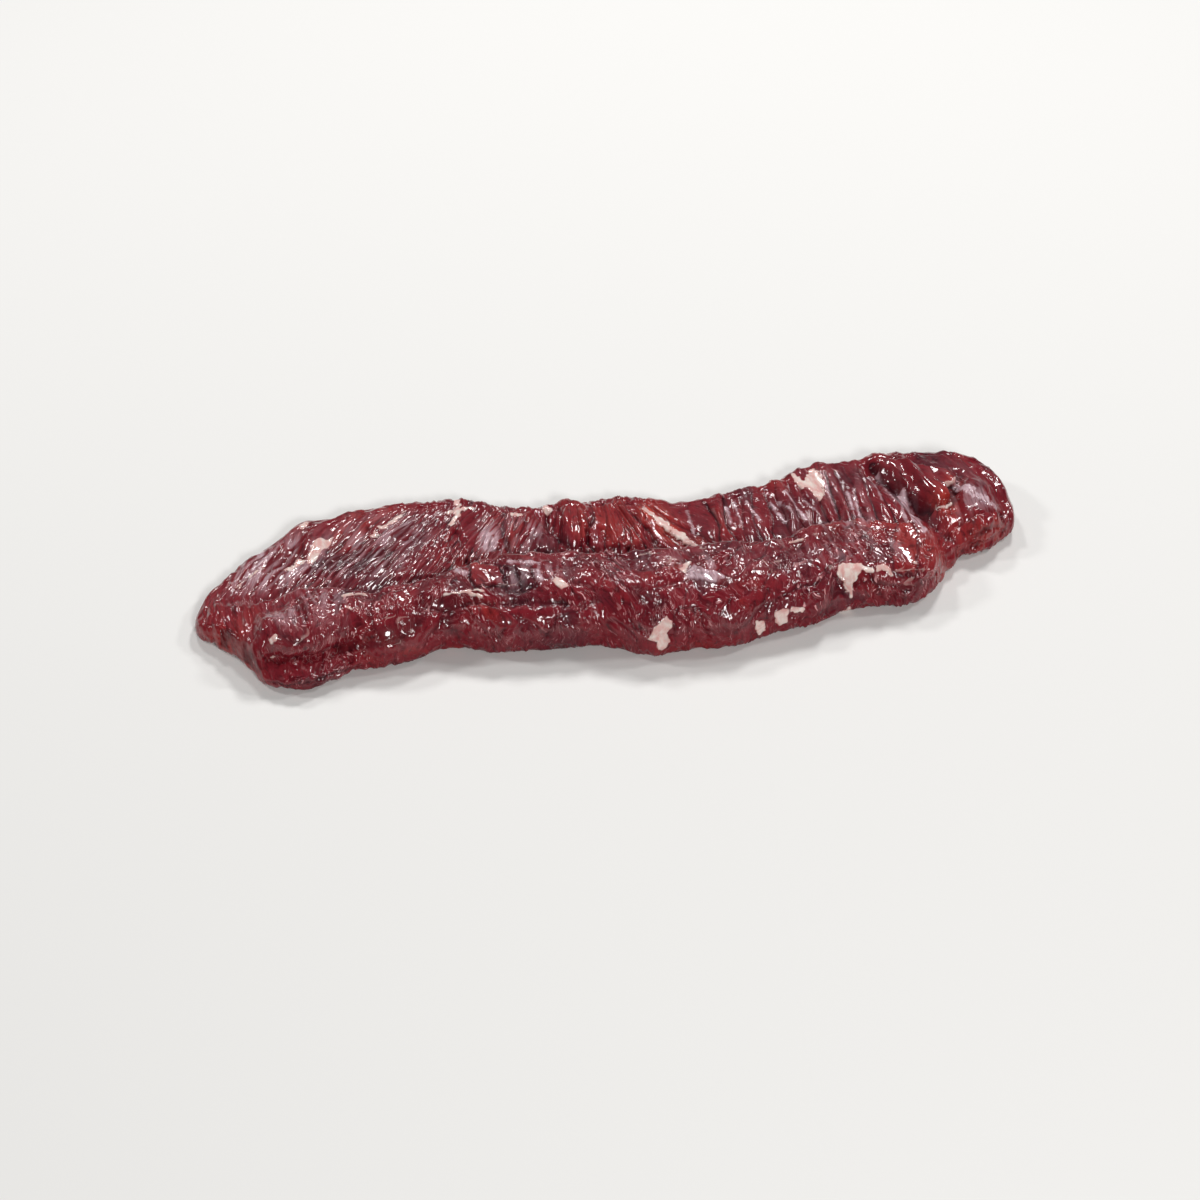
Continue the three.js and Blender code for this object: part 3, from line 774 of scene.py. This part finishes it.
def rounded_tips(rows, y, z):
    """Draws the last few sections in towards their middles, so that each tip is round."""
    for tip, way in ((LEFT_TIP_X, 1), (RIGHT_TIP_X, -1)):
        near = np.clip((rows - tip) * way / TIP_LENGTH, 0, 1)[:, None]
        size = mix(TIP_SHARE, 1, np.sqrt(1 - (1 - near) ** 2))
        middle_y = y.mean(axis=1, keepdims=True)
        middle_z = TIP_MIDDLE_SHARE * z.max(axis=1, keepdims=True)
        y, z = mix(middle_y, y, size), mix(middle_z, z, size)
    return y, z


def broad_shape(sections):
    """The cut with its broad bundles, lobes and valleys, and where its parts are, as grids."""
    rows = np.linspace(LEFT_TIP_X, RIGHT_TIP_X, sections)
    x, y, z, grain, sizes = plain_sections(rows)
    row = np.broadcast_to(rows[:, None], x.shape)
    ends = within([LEFT_TIP_X, LEFT_TIP_X + BARE_END, RIGHT_TIP_X - BARE_END, RIGHT_TIP_X], row)
    soft = ends * np.minimum(1, 4 * grain)
    near_back = smooth(sizes["back"] - FADE_START, sizes["back"] - FADE_END, y)
    fibre_row = mix(row, x, within(STRAIGHT_SPAN, x))
    broad = grain * broad_bundles(fibre_row, y) * along(BROAD_SHARE, row) * (1 - 0.6 * near_back)
    lift = broad + swells(x, y) + spots(LOBES, x, y, z) - valleys(x, y, z)
    y, z = push_out(y, z, soft * lift)
    step = np.hypot(np.diff(y, axis=1), np.diff(z, axis=1))
    arc = np.concatenate([np.zeros((sections, 1)), np.cumsum(step, axis=1)], axis=1)

    loose, gape = sizes["loose"], sizes["gape"]
    below_ridge = 1 - smooth(*FACE_TOP, z / sizes["ridge_top"])
    return SimpleNamespace(
        rows=rows, row=row, x=x, y=y, z=z, arc=arc, fibre_row=fibre_row, soft=soft,
        near_back=near_back, front_y=sizes["front"],
        shown=1 - columns("underside"),
        on_top=1 - columns("underside", "under_fold", *CREASE),
        upper=columns(*UPPER) * loose,
        lower=columns(*BEHIND) + columns(*UPPER, *CREASE) * (1 - loose),
        face=columns(*FRONT) * loose * (1 - gape) * below_ridge,
        lips=columns(*FRONT) * gape * smooth(*LIP_TOP, z),
        round_edge=columns(*FRONT) * (1 - loose) + 0.8 * columns("back_edge"))


def lower_relief(s):
    """Heights on the lower leaf: bundles, the fibres and beads in them, pebbles and lumps."""
    bundle, s.side, s.lot = bundle_pattern(s.fibre_row, s.y)
    s.bundle_depth = along(BUNDLE_DEPTH, s.row) * (1 - 0.85 * s.near_back)
    coarse = along(COARSE_SHARE, s.row)
    fibres = noise(21, s.fibre_row / FIBRE_SIZE[0] + noise(23, s.row / 6, s.y / 14),
                   s.y / FIBRE_SIZE[1])
    beads = noise(27, s.fibre_row / BEAD_SIZE[0] + noise(29, s.row / 7, s.y / 9),
                  s.y / BEAD_SIZE[1])
    s.lumps = layered(31, 2, s.x / LUMP_SIZE, s.y / LUMP_SIZE, s.z / LUMP_SIZE)
    s.pebbles = layered(37, 2, s.fibre_row / PEBBLE_SIZE[0] + 0.8 * beads,
                        s.y / PEBBLE_SIZE[1], s.z / PEBBLE_SIZE[2])
    lift = (s.bundle_depth * BUNDLE_RISE * (bundle - BUNDLE_FLOOR)
            + FIBRE_HEIGHT * fibres * (0.5 + 0.5 * coarse)
            + (BEAD_HEIGHT * beads + PEBBLE_HEIGHT * s.pebbles) * coarse)
    lift = lift * (1 - 0.5 * s.near_back) + LUMP_HEIGHT * s.lumps
    plainer = ROUND_EDGE_PEBBLES * s.pebbles + ROUND_EDGE_LUMPS * s.lumps
    return lift * (1 - 0.65 * s.round_edge) + s.round_edge * plainer


def upper_relief(s):
    """Heights on the upper leaf, first on top and then on its front face: curling strands,
    grains, smooth tiles and soft creases."""
    s.curl_x = strayed(s.x, (43, 44), CURLS, s.x, s.arc)
    s.curl_arc = strayed(s.arc, (45, 46), CURLS, s.x, s.arc)
    strands = 1 - 2.2 * np.abs(noise(41, s.curl_x / STRAND_SIZE[0], s.curl_arc / STRAND_SIZE[1]))
    s.rugged = mix(0.3, 1, smooth(-0.35, 0.3, layered(151, 2, s.x / 11, s.arc / 9)))
    grains = noise(47, (s.x + 0.6 * s.arc) / GRAIN_SIZE[0], (s.arc - 0.6 * s.x) / GRAIN_SIZE[1])
    folds = noise(53, s.x / 15 + 0.5 * noise(55, s.x / 9, s.arc / 9), s.arc / 11)
    s.crease = 1 - smooth(0, 0.3, np.abs(folds))
    tile_u = (s.x + 0.55 * s.arc) / TILE_SIZE[0] + 0.3 * folds
    tile_v = s.arc / TILE_SIZE[1] + 0.3 * s.lumps
    rims = [np.minimum(tile % 1, 1 - tile % 1) for tile in (tile_u, tile_v)]
    s.tile_lot = chance([np.floor(tile_u), np.floor(tile_v)], 19)
    s.smooth_tile = smooth(0.03, 0.13, np.minimum(*rims)) * (s.tile_lot < SMOOTH_TILES)
    top = ((STRAND_HEIGHT * strands + GRAIN_HEIGHT * grains) * s.rugged
           + UPPER_LUMP_HEIGHT * s.lumps - SOFT_CREASE_DEPTH * s.crease
           + UPPER_PEBBLE_HEIGHT * s.pebbles)
    top = top * (1 - 0.75 * s.smooth_tile) + (5 * s.tile_lot - 0.4) * s.smooth_tile
    stripes = noise(59, s.x / STRIPE_SIZE[0], s.arc / STRIPE_SIZE[1])
    face = (STRIPE_HEIGHT * stripes + FACE_LUMP_HEIGHT * s.lumps
            + FACE_STRAND_HEIGHT * strands * s.rugged + FACE_GRAIN_HEIGHT * grains
            - FACE_CREASE_DEPTH * s.crease)
    ply = noise(157, s.x / 9, s.z / 1.5 + 0.8 * noise(158, s.x / 5, s.z / 4))
    lip_lumps = layered(153, 2, s.x / 4.2, s.arc / 3.2)
    lip_lift = s.lips * (LIP_LUMP_HEIGHT * lip_lumps + LIP_PLY_HEIGHT * ply)
    return top + lip_lift, face + lip_lift


def plates_and_cuts(s):
    """Heights of the smooth plates and narrow grooves. Also keeps how calm and warm the skin
    is on the plates, and where painted shade darkens the gaps beside them, the grooves and the
    slit between the lips."""
    lift, s.calm, s.gap, s.plate_warmth = (np.zeros(s.x.shape) for _ in range(4))
    for number, (points, edge, height, warm, calmness) in enumerate(PLATES, start=201):
        depth = inside(points, 0, s.x, s.y) + 0.7 * noise(number, s.x / 2.5, s.y / 2.5)
        cover = smooth(-0.5 * edge, 0.5 * edge, depth) * s.on_top
        lift += height * cover
        s.plate_warmth += warm * cover
        s.calm = np.maximum(s.calm, calmness * cover)
        if edge <= SHARP_EDGE:
            # Painted shade in the gap under a sharp plate edge
            shade_under_edge = np.exp(-((depth + 0.7) / 0.9) ** 2) * s.on_top
            s.gap = np.maximum(s.gap, min(1, 0.5 + 0.35 * abs(height)) * shade_under_edge)
    stray_x = strayed(s.x, (241, 243), STRAYS, s.x, s.y)
    stray_y = strayed(s.y, (245, 247), STRAYS, s.x, s.y)
    faint = 0.75 + 0.55 * noise(249, s.x / 5, s.y / 5)
    for points, width, depth in CUTS:
        cut = np.exp(-(line_distance(points, stray_x, stray_y) / width) ** 2) * s.on_top * faint
        lift -= depth * cut
        # Painted shade in the grooves
        s.gap = np.maximum(s.gap, 0.62 * smooth(0.15, 0.9, cut))
    slit_z = LIP_SLIT_HEIGHT + 0.9 * noise(161, s.x / 6, s.y / 6)
    slit = np.exp(-((s.z - slit_z) / LIP_SLIT_WIDTH) ** 2) * s.lips
    # Painted shade in the slit between the lips
    s.gap = np.maximum(s.gap, 0.75 * slit)
    return lift - LIP_SLIT_DEPTH * slit


def finish_values(s):
    """Shares from 0 to 1 that steer the material, each as a grid over the skin."""
    x, y, z = s.x, s.y, s.z
    streaks = noise(71, s.fibre_row / 1.5 + 1.3 * noise(73, s.row / 7, y / 10), y / 13)
    patchy = layered(77, 2, x / 8, y / 11, z / 8)
    streaky = streaks + 0.3 * patchy

    # Membrane with painted sheen lies in streaks, and on the left along the backs of the bundles
    combed = (smooth(0.55, 0.15, s.side) * (0.55 + 0.45 * noise(75, s.row / 4, y / 9))
              * (1 - smooth(*COMBED_END, s.row)))
    # Silver skin with painted highlight lines along the bundles
    silver = s.silver * (0.8 + 0.5 * streaks).clip(0, 1)
    filmed_and_sheen = spots(MEMBRANE_AND_SHEEN, x, y, z)
    film_and_sheen = filmed_and_sheen * (0.7 + 0.6 * patchy) * np.maximum(smooth(0.0, 0.28, streaky), combed)

    # Thin pale veins wander over the upper leaf
    web = noise(83, x / 8 + 0.6 * noise(85, x / 4, y / 4, z / 4), y / 6.5, z / 6.5)
    veins = (1 - smooth(0.012, 0.05, np.abs(web))) * smooth(0.0, 0.45, patchy)
    veins = veins * s.upper * (1 - s.face)

    # Painted shade and blood darken the sides of bundles, the creases, the valleys and the gaps,
    # and blood darkens thin membrane
    low = smooth(0.68, 0.97, s.side) * mix(0.35, 1, s.lot) * smooth(0.2, 0.8, s.bundle_depth)
    shade_and_blood_share = low * s.lower * columns(*BEHIND) + 0.5 * s.crease * s.upper * (1 - 0.5 * s.face)
    shade_and_blood_share = np.maximum(shade_and_blood_share, 0.9 * smooth(0.8, 2.6, valleys(x, y, z))) * (1 - 0.7 * s.calm)
    between = filmed_and_sheen.clip(0, 1) * smooth(0.1, -0.3, streaky)
    shade_and_blood_share = np.maximum(np.maximum(shade_and_blood_share, s.gap), 0.6 * between) * (1 - s.fat) * (1 - 0.8 * silver)

    warmth = spots(WARMTH, x, y, z) + 0.45 * layered(91, 2, x / 15, y / 15, z / 15)
    warmth = warmth + s.plate_warmth + 0.7 * (s.lot - 0.5) * s.lower
    warmth = warmth + (2 * s.tile_lot / SMOOTH_TILES - 1) * 0.5 * s.smooth_tile * s.upper
    curls = s.upper * mix(s.rugged, 0.2, s.face) * (1 - 0.8 * np.maximum(s.calm, s.smooth_tile))
    return {
        "fat": np.maximum(s.fat, 0.4 * veins),
        "membrane_and_sheen": np.maximum(film_and_sheen, silver).clip(0, 1) * s.shown,
        "shade_and_blood_share": shade_and_blood_share.clip(0, 1),
        "warmth": warmth.clip(-1, 1) * 0.5 + 0.5,
        "face": s.face * s.shown,
        "curls": curls,
        "calm": np.maximum(s.calm, s.smooth_tile * s.upper),
        "orange": (spots(ORANGE, x, y, z) * (0.8 + 0.6 * streaks)).clip(0, 1) * s.shown,
    }


def meat_surface(settings):
    """Grids of points, of the material's shares and of places along the fibres."""
    s = broad_shape(settings.sections)
    lower_lift = lower_relief(s)
    top_lift, face_lift = upper_relief(s)
    plate_lift = plates_and_cuts(s)
    front_fat = patches(FRONT_FAT, FAT_SEED + len(FAT), s.z, s.x, s.y, s.z)
    s.fat = np.maximum(patches(FAT, FAT_SEED, s.y, s.x, s.y, s.z),
                       front_fat * (s.y < s.front_y + FRONT_FAT_REACH)) * s.shown
    # Silver skin and painted highlight lines along the bundles
    s.silver = patches(SILVER_AND_HIGHLIGHTS, SILVER_AND_HIGHLIGHT_SEED, s.y, s.x, s.y, s.z)

    lift = mix(lower_lift * s.lower, mix(top_lift, face_lift, s.face), s.upper)
    lift = lift * (1 - 0.7 * s.calm)
    lift = mix(lift, 0.3 * lift + FAT_HEIGHT, s.fat)
    lift = lift + plate_lift + SILVER_AND_HIGHLIGHT_HEIGHT * s.silver * s.on_top
    s.y, s.z = push_out(s.y, s.z, s.soft * lift * settings.relief)
    s.y, s.z = rounded_tips(s.rows, s.y, s.z)
    fibre = (mix(s.row, s.curl_x, s.upper), mix(s.arc, s.curl_arc, s.upper), 0 * s.row)
    return (np.stack([s.x, s.y - MIDDLE_Y, s.z], axis=-1), finish_values(s),
            np.stack(fibre, axis=-1))


def meat_mesh(settings):
    """One closed skin over the sections, with a fan over each end one."""
    points, values, fibre = meat_surface(settings)
    sections, count = points.shape[:2]
    caps = np.array([points[0].mean(axis=0), points[-1].mean(axis=0)])
    corners = np.concatenate([points.reshape(-1, 3), caps]) * MM
    ring = np.arange(sections - 1)[:, None] * count
    here = np.arange(count)[None]
    after = (here + 1) % count
    quads = np.stack([ring + here, ring + count + here, ring + count + after, ring + after], -1)
    quads = quads.reshape(-1, 4)
    first, last = sections * count, (sections - 1) * count
    fans = [(first, k, (k + 1) % count) for k in range(count)]
    fans += [(first + 1, last + (k + 1) % count, last + k) for k in range(count)]
    loops = np.concatenate([quads.ravel(), np.array(fans).ravel()])
    starts = np.concatenate([np.arange(len(quads)) * 4,
                             len(quads) * 4 + np.arange(len(fans)) * 3])
    mesh = bpy.data.meshes.new(PIECE)
    mesh.vertices.add(len(corners))
    mesh.vertices.foreach_set("co", corners.ravel())
    mesh.loops.add(len(loops))
    mesh.loops.foreach_set("vertex_index", loops)
    mesh.polygons.add(len(starts))
    mesh.polygons.foreach_set("loop_start", starts)
    mesh.update(calc_edges=True)
    mesh.validate()
    mesh.polygons.foreach_set("use_smooth", np.ones(len(mesh.polygons), dtype=bool))
    for name, grid in values.items():
        flat = np.concatenate([grid.ravel(), [grid[0].mean(), grid[-1].mean()]])
        mesh.attributes.new(name, "FLOAT", "POINT").data.foreach_set("value", flat)
    flat = np.concatenate([fibre.reshape(-1, 3), fibre[0].mean(0)[None], fibre[-1].mean(0)[None]])
    mesh.attributes.new("fibre", "FLOAT_VECTOR", "POINT").data.foreach_set(
        "vector", (flat * MM).ravel())
    return mesh


def node(tree, kind, inputs=None, **settings):
    """Adds a shader node; an input is linked where its value is another node's socket."""
    made = tree.nodes.new(kind)
    for name, value in settings.items():
        setattr(made, name, value)
    for name, value in (inputs or {}).items():
        if isinstance(value, bpy.types.NodeSocket):
            tree.links.new(value, made.inputs[name])
        else:
            made.inputs[name].default_value = value
    return made


def blend_colours(tree, share, first, second):
    made = node(tree, "ShaderNodeMix", {0: share, 6: first, 7: second}, data_type="RGBA")
    return made.outputs[2]


def arithmetic(tree, operation, first, second=0.0, clamp=False):
    made = node(tree, "ShaderNodeMath", {0: first, 1: second}, operation=operation,
                use_clamp=clamp)
    return made.outputs[0]


def times(tree, *factors):
    product = factors[0]
    for factor in factors[1:]:
        product = arithmetic(tree, "MULTIPLY", product, factor)
    return product


def remap(tree, value, low, high, to_low, to_high):
    made = node(tree, "ShaderNodeMapRange",
                {"Value": value, "From Min": low, "From Max": high, "To Min": to_low,
                 "To Max": to_high}, interpolation_type="SMOOTHSTEP")
    return made.outputs["Result"]


def grain_noise(tree, place, lengthwise, crosswise, detail):
    scaled = node(tree, "ShaderNodeMapping",
                  {"Vector": place, "Scale": (lengthwise, crosswise, 1)})
    made = node(tree, "ShaderNodeTexNoise",
                {"Vector": scaled.outputs[0], "Scale": 1.0, "Detail": detail,
                 "Roughness": GRAIN_ROUGHNESS})
    return made.outputs["Fac"]


def painted(tree, name):
    return node(tree, "ShaderNodeAttribute", attribute_name=name).outputs["Fac"]


def hairlines(tree, field, width):
    """Thin curling lines along the middle level of a noise field."""
    apart = arithmetic(tree, "ABSOLUTE", arithmetic(tree, "SUBTRACT", field, 0.5))
    return remap(tree, apart, width, 0.0, 0, 1)


def pale_lines_and_glints(tree, on, grain):
    """Pale hairlines and short dashes of painted glint over the upper leaf's curling strands."""
    fine = times(tree, hairlines(tree, grain["loops"], 0.02),
                 remap(tree, grain["where"], 0.42, 0.6, 0.0, 0.45))
    # Short dashes of painted glint
    glint_strokes = times(tree, remap(tree, grain["glint_strokes"], 0.62, 0.7, 0, 1),
                    remap(tree, grain["where"], 0.62, 0.4, 0.2, 1.0))
    return times(tree, arithmetic(tree, "MAXIMUM", fine, glint_strokes), on["curls"])


def meat_colour(tree, on, grain, colours, lines):
    """Muscle with blood and painted shade in its valleys, then pale fibres with painted glints,
    silver skin with painted sheen, and fat over it.
    """
    threads, mottle = grain["threads"], grain["mottle"]
    muscle = colours["plum"]
    for share, colour in (
        (remap(tree, on["warmth"], 0.1, 0.55, 0, 1), "wine"),
        (remap(tree, on["warmth"], 0.55, 1.0, 0, 1), "brick"),
        (times(tree, on["orange"], 0.8), "orange"),
        (remap(tree, threads, 0.5, 0.3, 0, 0.35), "blood_and_shade_colour"),
        (remap(tree, mottle, 0.5, 0.28, 0, 0.65), "blood_and_shade_colour"),
        # Painted shade and blood in the valleys, creases and gaps
        (remap(tree, on["shade_and_blood_share"], 0.0, 1.0, 0, 0.9), "blood_and_shade_colour"),
    ):
        muscle = blend_colours(tree, share, muscle, colours[colour])
    # Pale threads along the fibres, partly painted glints
    pale_threads_and_glints = times(tree, remap(tree, threads, 0.62, 0.7, 0, 0.35),
                         remap(tree, on["calm"], 0, 1, 1, 0.2))
    muscle = blend_colours(tree, arithmetic(tree, "MAXIMUM", lines, pale_threads_and_glints), muscle,
                           colours["pale_fibre_and_glint"])
    # Membrane with painted sheen
    film_and_sheen = times(tree, on["membrane_and_sheen"], remap(tree, threads, 0.3, 0.6, 0.35, 1), 0.9)
    skin = blend_colours(tree, film_and_sheen, muscle, colours["membrane_and_sheen"])
    cream = blend_colours(tree, remap(tree, mottle, 0.35, 0.65, 0, 1), colours["fat"],
                          colours["fat_pink"])
    return blend_colours(tree, remap(tree, on["fat"], 0.15, 0.75, 0, 1), skin, cream)


def raw_meat_material(finish):
    """Raw meat with a wet coat, steered by the shares kept on the mesh."""
    material = bpy.data.materials.new("raw_beef_wet")
    material.use_nodes = True
    tree = material.node_tree
    tree.nodes.clear()
    place = node(tree, "ShaderNodeAttribute", attribute_name="fibre").outputs["Vector"]
    on = {name: painted(tree, name) for name in SHARES}
    grain = {name: grain_noise(tree, place, *sizes) for name, sizes in GRAIN.items()}
    colours = {name: (*getattr(finish, name), 1) for name in COLOURS}
    lines = pale_lines_and_glints(tree, on, grain)

    rough = arithmetic(tree, "ADD", remap(tree, grain["mottle"], 0.3, 0.7, 0.3, 0.5),
                       times(tree, on["fat"], 0.12), clamp=True)
    height = arithmetic(tree, "ADD", times(tree, grain["threads"], 0.8),
                        times(tree, grain["pores"], 0.15))
    height = arithmetic(tree, "ADD", height, times(tree, lines, 0.12))
    height = times(tree, height, remap(tree, on["face"], 0, 1, 1, 0.4),
                   remap(tree, on["calm"], 0, 1, 1, 0.3))
    coat = times(tree, remap(tree, on["shade_and_blood_share"], 0, 1, 1.0, 0.2),
                 remap(tree, grain["where"], 0.38, 0.6, 0.55, 1.0),
                 remap(tree, on["face"], 0, 1, 1, 0.45))
    bump = node(tree, "ShaderNodeBump", {"Height": height, "Strength": 0.28, "Distance": 0.0005})
    surface = node(tree, "ShaderNodeBsdfPrincipled", {
        "Base Color": meat_colour(tree, on, grain, colours, lines), "Roughness": rough,
        "IOR": 1.4, "Specular IOR Level": 0.15, "Normal": bump.outputs[0],
        "Subsurface Weight": 0.1, "Subsurface Radius": (1.0, 0.3, 0.2),
        "Subsurface Scale": 0.0015, "Coat Weight": coat, "Coat Roughness": 0.07,
        "Coat IOR": 1.5, "Coat Normal": bump.outputs[0],
    })
    output = node(tree, "ShaderNodeOutputMaterial")
    tree.links.new(surface.outputs[0], output.inputs["Surface"])
    return material


def plain_material(name, colour, roughness):
    material = bpy.data.materials.new(name)
    material.use_nodes = True
    surface = material.node_tree.nodes["Principled BSDF"]
    surface.inputs["Base Color"].default_value = tuple(colour) + (1,)
    surface.inputs["Roughness"].default_value = roughness
    return material


def shown_colour(red, green, blue):
    """A colour as it shows on a screen, in parts of 255, turned into shares of light."""
    shares = [part / 255 for part in (red, green, blue)]
    return tuple(s / 12.92 if s <= 0.04045 else ((s + 0.055) / 1.055) ** 2.4 for s in shares)


class BeefFlankShape(bpy.types.PropertyGroup):
    sections: IntProperty(
        name="Sections", description="Cross-sections along the fold", default=860, min=60)
    relief: FloatProperty(
        name="Relief", description="Share of the full depth of bundles and grain",
        default=1.0, min=0, max=2, subtype="FACTOR")


class BeefFlankFinish(bpy.types.PropertyGroup):
    plum: FloatVectorProperty(
        name="Plum", description="Deeper, older muscle", subtype="COLOR",
        default=shown_colour(84, 18, 32))
    wine: FloatVectorProperty(
        name="Wine red", description="Most of the muscle", subtype="COLOR",
        default=shown_colour(120, 22, 34))
    brick: FloatVectorProperty(
        name="Brick red", description="Freshly opened muscle", subtype="COLOR",
        default=shown_colour(146, 38, 38))
    orange: FloatVectorProperty(
        name="Orange red", description="Freshly torn muscle beside fat", subtype="COLOR",
        default=shown_colour(190, 62, 40))
    # Dark blood, also used to paint shade into the valleys, creases and gaps
    blood_and_shade_colour: FloatVectorProperty(
        name="Valley", description="Blood in the valleys between bundles", subtype="COLOR",
        default=shown_colour(38, 5, 15))
    # Light threads, also used for painted glints
    pale_fibre_and_glint: FloatVectorProperty(
        name="Pale fibre", description="Light threads in the muscle", subtype="COLOR",
        default=shown_colour(226, 164, 166))
    # Silvery skin, also used for painted sheen
    membrane_and_sheen: FloatVectorProperty(
        name="Membrane", description="Silvery skin over the bundles", subtype="COLOR",
        default=shown_colour(216, 188, 196))
    fat: FloatVectorProperty(
        name="Fat", description="Cream fat", subtype="COLOR", default=shown_colour(226, 208, 200))
    fat_pink: FloatVectorProperty(
        name="Pink fat", description="Fat stained by the meat", subtype="COLOR",
        default=shown_colour(212, 160, 154))


class BeefFlankStage(bpy.types.PropertyGroup):
    floor: FloatVectorProperty(
        name="Floor", description="Colour of the floor", subtype="COLOR",
        default=(0.80, 0.79, 0.77))
    floor_width: FloatProperty(
        name="Floor width", description="Side of the square floor", default=6.0,
        unit="LENGTH")
    light: FloatProperty(
        name="Light", description="Share of the studio lights' full power", default=1.0, min=0)
    lens: FloatProperty(
        name="Lens", description="Focal length on a 36 mm sensor", default=63.80,
        unit="CAMERA")


def remove_old(name):
    old = bpy.data.objects.get(name)
    if old:
        bpy.data.objects.remove(old, do_unlink=True)


def add_lights(scene, share):
    """Soft round lights that face the middle of the floor, and a faint even light."""
    for name, place, size, power in LIGHTS:
        lamp = bpy.data.lights.new(name, "AREA")
        lamp.shape = "DISK"
        lamp.size = size
        lamp.energy = power * share
        holder = bpy.data.objects.new(name, lamp)
        holder.location = place
        holder.rotation_euler = (-Vector(place)).to_track_quat("-Z", "Y").to_euler()
        scene.collection.objects.link(holder)
    world = bpy.data.worlds.new("studio")
    world.use_nodes = True
    sky = world.node_tree.nodes["Background"]
    sky.inputs["Color"].default_value = (1, 1, 1, 1)
    sky.inputs["Strength"].default_value = WORLD_LIGHT * share
    scene.world = world


def add_camera(scene, focal_length):
    """The camera at the place and turn that the photo was taken from."""
    lens = bpy.data.cameras.new("camera")
    lens.sensor_width = SENSOR_WIDTH
    lens.lens = focal_length
    camera = bpy.data.objects.new("camera", lens)
    back = Vector((math.sin(CAMERA_YAW) * math.cos(CAMERA_PITCH),
                   -math.cos(CAMERA_YAW) * math.cos(CAMERA_PITCH), math.sin(CAMERA_PITCH)))
    right = (-back).cross(Vector((0, 0, 1))).normalized()
    up = right.cross(-back)
    turned_right = math.cos(CAMERA_ROLL) * right + math.sin(CAMERA_ROLL) * up
    turned_up = math.cos(CAMERA_ROLL) * up - math.sin(CAMERA_ROLL) * right
    turn = Matrix((turned_right, turned_up, back)).transposed().to_4x4()
    camera.matrix_world = Matrix.Translation(CAMERA_PLACE) @ turn
    scene.collection.objects.link(camera)
    scene.camera = camera


class MEAT_OT_beef_flank(bpy.types.Operator):
    """Makes the folded flank with its bundles, membrane and fat"""

    bl_idname = "meat.beef_flank"
    bl_label = "Beef flank"

    def execute(self, context):
        scene = context.scene
        remove_old(PIECE)
        mesh = meat_mesh(scene.beef_flank_shape)
        if not mesh.polygons:
            raise RuntimeError("the flank's skin came out empty")
        mesh.materials.append(raw_meat_material(scene.beef_flank_finish))
        meat = bpy.data.objects.new(PIECE, mesh)
        scene.collection.objects.link(meat)
        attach(meat, "root")
        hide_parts("beef_flank")
        return {"FINISHED"}


class MEAT_OT_beef_stage(bpy.types.Operator):
    """Makes the pale floor, the soft lights and the camera"""

    bl_idname = "meat.beef_stage"
    bl_label = "Stage"

    def execute(self, context):
        scene = context.scene
        stage = scene.beef_flank_stage
        half = stage.floor_width / 2
        mesh = bpy.data.meshes.new("floor")
        mesh.from_pydata([(-half, -half, 0), (half, -half, 0), (half, half, 0), (-half, half, 0)],
                         [], [(0, 1, 2, 3)])
        mesh.materials.append(plain_material("pale_floor", stage.floor, FLOOR_ROUGHNESS))
        floor = bpy.data.objects.new("floor", mesh)
        scene.collection.objects.link(floor)
        add_lights(scene, stage.light)
        add_camera(scene, stage.lens)
        scene.view_settings.view_transform = "Standard"
        return {"FINISHED"}


class VIEW3D_PT_beef_flank(bpy.types.Panel):
    """Lists the flank's makers and their settings"""

    bl_label = "Raw Beef Flank"
    bl_space_type = "VIEW_3D"
    bl_region_type = "UI"
    bl_category = "Beef"

    def draw(self, context):
        layout = self.layout
        scene = context.scene
        for operator, groups in (
            (MEAT_OT_beef_flank, (scene.beef_flank_shape, scene.beef_flank_finish)),
            (MEAT_OT_beef_stage, (scene.beef_flank_stage,)),
        ):
            box = layout.box()
            box.operator(operator.bl_idname)
            for group in groups:
                for name in group.__annotations__:
                    box.prop(group, name)


CLASSES = (
    BeefFlankShape, BeefFlankFinish, BeefFlankStage, MEAT_OT_beef_flank, MEAT_OT_beef_stage,
    VIEW3D_PT_beef_flank,
)
SETTINGS = {
    "beef_flank_shape": BeefFlankShape,
    "beef_flank_finish": BeefFlankFinish,
    "beef_flank_stage": BeefFlankStage,
}


def register():
    for kind in CLASSES:
        bpy.utils.register_class(kind)
    for name, group in SETTINGS.items():
        setattr(bpy.types.Scene, name, PointerProperty(type=group))


def unregister():
    for name in SETTINGS:
        delattr(bpy.types.Scene, name)
    for kind in reversed(CLASSES):
        bpy.utils.unregister_class(kind)


def main():
    register()
    bpy.ops.meat.beef_stage()
    bpy.ops.meat.beef_flank()


if __name__ == "__main__":
    main()
